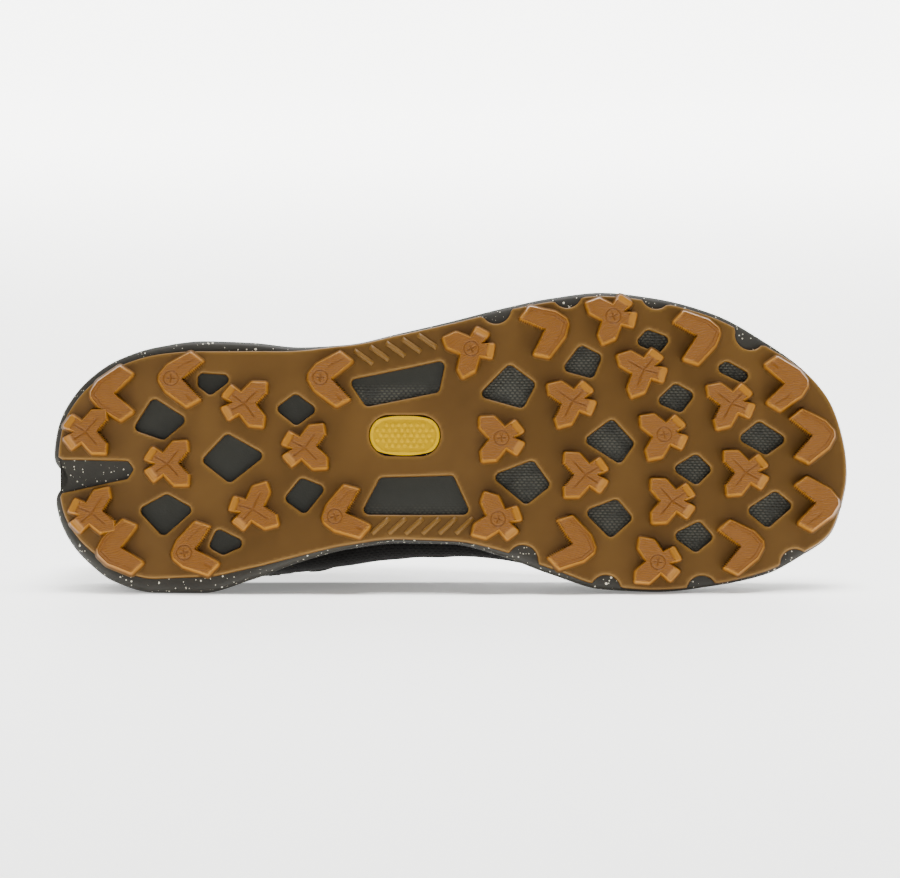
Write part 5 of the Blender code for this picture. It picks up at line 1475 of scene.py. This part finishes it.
def buildStitches(name, lines, material):
    points, faces, first = [], [], 0
    for path, facing in lines:
        run = lengthAlong(path)
        at = np.arange(stitchSizes["pitch"] / 2, run[-1], stitchSizes["pitch"])
        middle, normal = alongPath(at, run, path), unit(alongPath(at, run, facing))
        ahead = unit(alongPath(at + 0.001, run, path) - alongPath(at - 0.001, run, path))
        side = np.cross(ahead, normal)
        t = np.linspace(-1, 1, stitchSizes["along"])
        angle = np.linspace(0, 2 * math.pi, stitchSizes["around"], endpoint=False)
        tt, aa = np.meshgrid(t, angle, indexing="ij")
        radius = stitchSizes["width"] / 2 * np.sqrt(np.clip(1 - tt**6, 0, 1))
        local = np.stack([tt * stitchSizes["length"] / 2, radius * np.cos(aa),
                          radius * np.sin(aa) - 0.00012 * tt**2], -1).reshape(-1, 3)
        frameOf = np.stack([ahead, side, normal], 1)
        points.append((np.einsum("pk,nkj->npj", local, frameOf) + middle[:, None]).reshape(-1, 3))
        cell = gridFaces(len(t), len(angle), True)
        offsets = first + np.arange(len(at)) * len(local)
        faces.append((cell[None] + offsets[:, None, None]).reshape(-1, 4))
        first += len(at) * len(local)
    piece = meshPiece(name, np.concatenate(points), faces, material)


def seamLine(ways, below, lift):
    share = shareBelow(ways, below)
    return offRib(ways, share, lift), ribNormal(ways, share)


collarWays = np.linspace(-0.56, 0.56, 400) * throatTurn
buildStitches("collar_stitches",
              [seamLine(collarWays, below, 0.0001) for below in (0.0115, 0.0145)], lace)
print("stitches made")

# Floor, lights and camera

studio = {
    "floor": "#F2F2F0", "floorPale": "#F4F4F2", "floorGlow": 1.90, "ambient": 0.18, "world": "#FFFFFF",
    "front": -8.0, "back": 4.2, "sweepRadius": 1.2, "wallTop": 5.0, "halfWide": 8.0,
    # Where the sole's edge stands: middle and half size along x and y, and the glow left there
    "footprint": ((0.0, 0.150), (-0.038, 0.024)), "footGlow": 0.15,
    "lens": 300.0, "sensor": 36.0, "frameWide": 0.3376, "elevation": 5.0, "aim": (-0.0004, -0.055, 0.0582),
}
# Disc lights: where each hangs, what it points at, how wide it is and its power
lights = {
    "top": ((0.10, 0.0, 1.6), (0, 0, 0.05), 1.0, 52),
    "backdrop": ((0.0, 3.0, 2.8), (0.0, 5.4, 0.4), 1.6, 420),
    "front": ((-0.9, -1.6, 1.0), (0, 0, 0.05), 1.0, 3),
}


def buildStage():
    # A pale floor that sweeps up behind the shoe: flat, then a quarter round, then a wall
    radius, back = studio["sweepRadius"], studio["back"]
    angle = np.linspace(0, math.pi / 2, 24)
    y = np.concatenate([[studio["front"]], back + radius * np.sin(angle), [back + radius]])
    z = np.concatenate([[0.0], radius * (1 - np.cos(angle)), [studio["wallTop"]]])
    sides = np.array([-studio["halfWide"], studio["halfWide"]])
    points = np.stack(np.broadcast_arrays(sides, y[:, None], z[:, None]), -1)
    mesh = bpy.data.meshes.new("floor")
    mesh.from_pydata(points.reshape(-1, 3).tolist(), [], gridFaces(len(y), 2)[:, ::-1].tolist())
    mesh.shade_smooth()
    # Painted board, matt white, lit a little from within as a studio's light floor is
    material, tree, shader = newMaterial("paintedStudioFloor", Roughness=0.6, IOR=1.45)
    shader.inputs["Emission Color"].default_value = linear(studio["floor"])
    place = addNode(tree, "ShaderNodeTexCoord").outputs["Object"]
    colour = mottled(tree, noise(tree, place, 0.5), studio["floor"], studio["floorPale"])
    tree.links.new(colour, shader.inputs["Base Color"])
    # The glow fades where the sole's edge stands, so that the shoe sits in its own shadow
    parts = addNode(tree, "ShaderNodeSeparateXYZ", {0: place})
    powers = []
    for k, (middle, reach) in enumerate(studio["footprint"]):
        off = maths(tree, "ABSOLUTE", maths(tree, "SUBTRACT", parts.outputs[k], middle))
        powers.append(maths(tree, "POWER", maths(tree, "DIVIDE", off, reach), 4.0))
    far = maths(tree, "POWER", maths(tree, "ADD", *powers), 0.25)
    far = spread(tree, spread(tree, far, 0.7, 1.15), 0.0, 1.0, studio["footGlow"], 1.0)
    tree.links.new(times(tree, far, studio["floorGlow"]), shader.inputs["Emission Strength"])
    mesh.materials.append(material)
    floor = bpy.data.objects.new("floor", mesh)
    bpy.context.scene.collection.objects.link(floor)


def aimed(name, data, place, target):
    # A light or camera at a place, turned to its target
    made = bpy.data.objects.new(name, data)
    bpy.context.scene.collection.objects.link(made)
    made.location = place
    made.rotation_euler = (Vector(target) - Vector(place)).to_track_quat("-Z", "Y").to_euler()
    return made


def buildStudio():
    world = bpy.data.worlds.new("softStudio")
    bpy.context.scene.world = world
    world.use_nodes = True
    sky = world.node_tree.nodes["Background"].inputs
    sky["Color"].default_value, sky["Strength"].default_value = linear(studio["world"]), studio["ambient"]
    for name, (place, target, size, power) in lights.items():
        light = bpy.data.lights.new(name, "AREA")
        light.shape, light.size, light.energy = "DISK", size, power
        aimed(name, light, place, target)
    camera = bpy.data.cameras.new("camera")
    camera.lens, camera.sensor_width = studio["lens"], studio["sensor"]
    camera.clip_start, camera.clip_end = 0.01, 60
    away = studio["frameWide"] / studio["sensor"] * studio["lens"]
    tilt, aim = math.radians(studio["elevation"]), Vector(studio["aim"])
    place = aim + Vector((0, -math.cos(tilt), math.sin(tilt))) * away
    bpy.context.scene.camera = aimed("camera", camera, place, aim)


buildStage()
buildStudio()
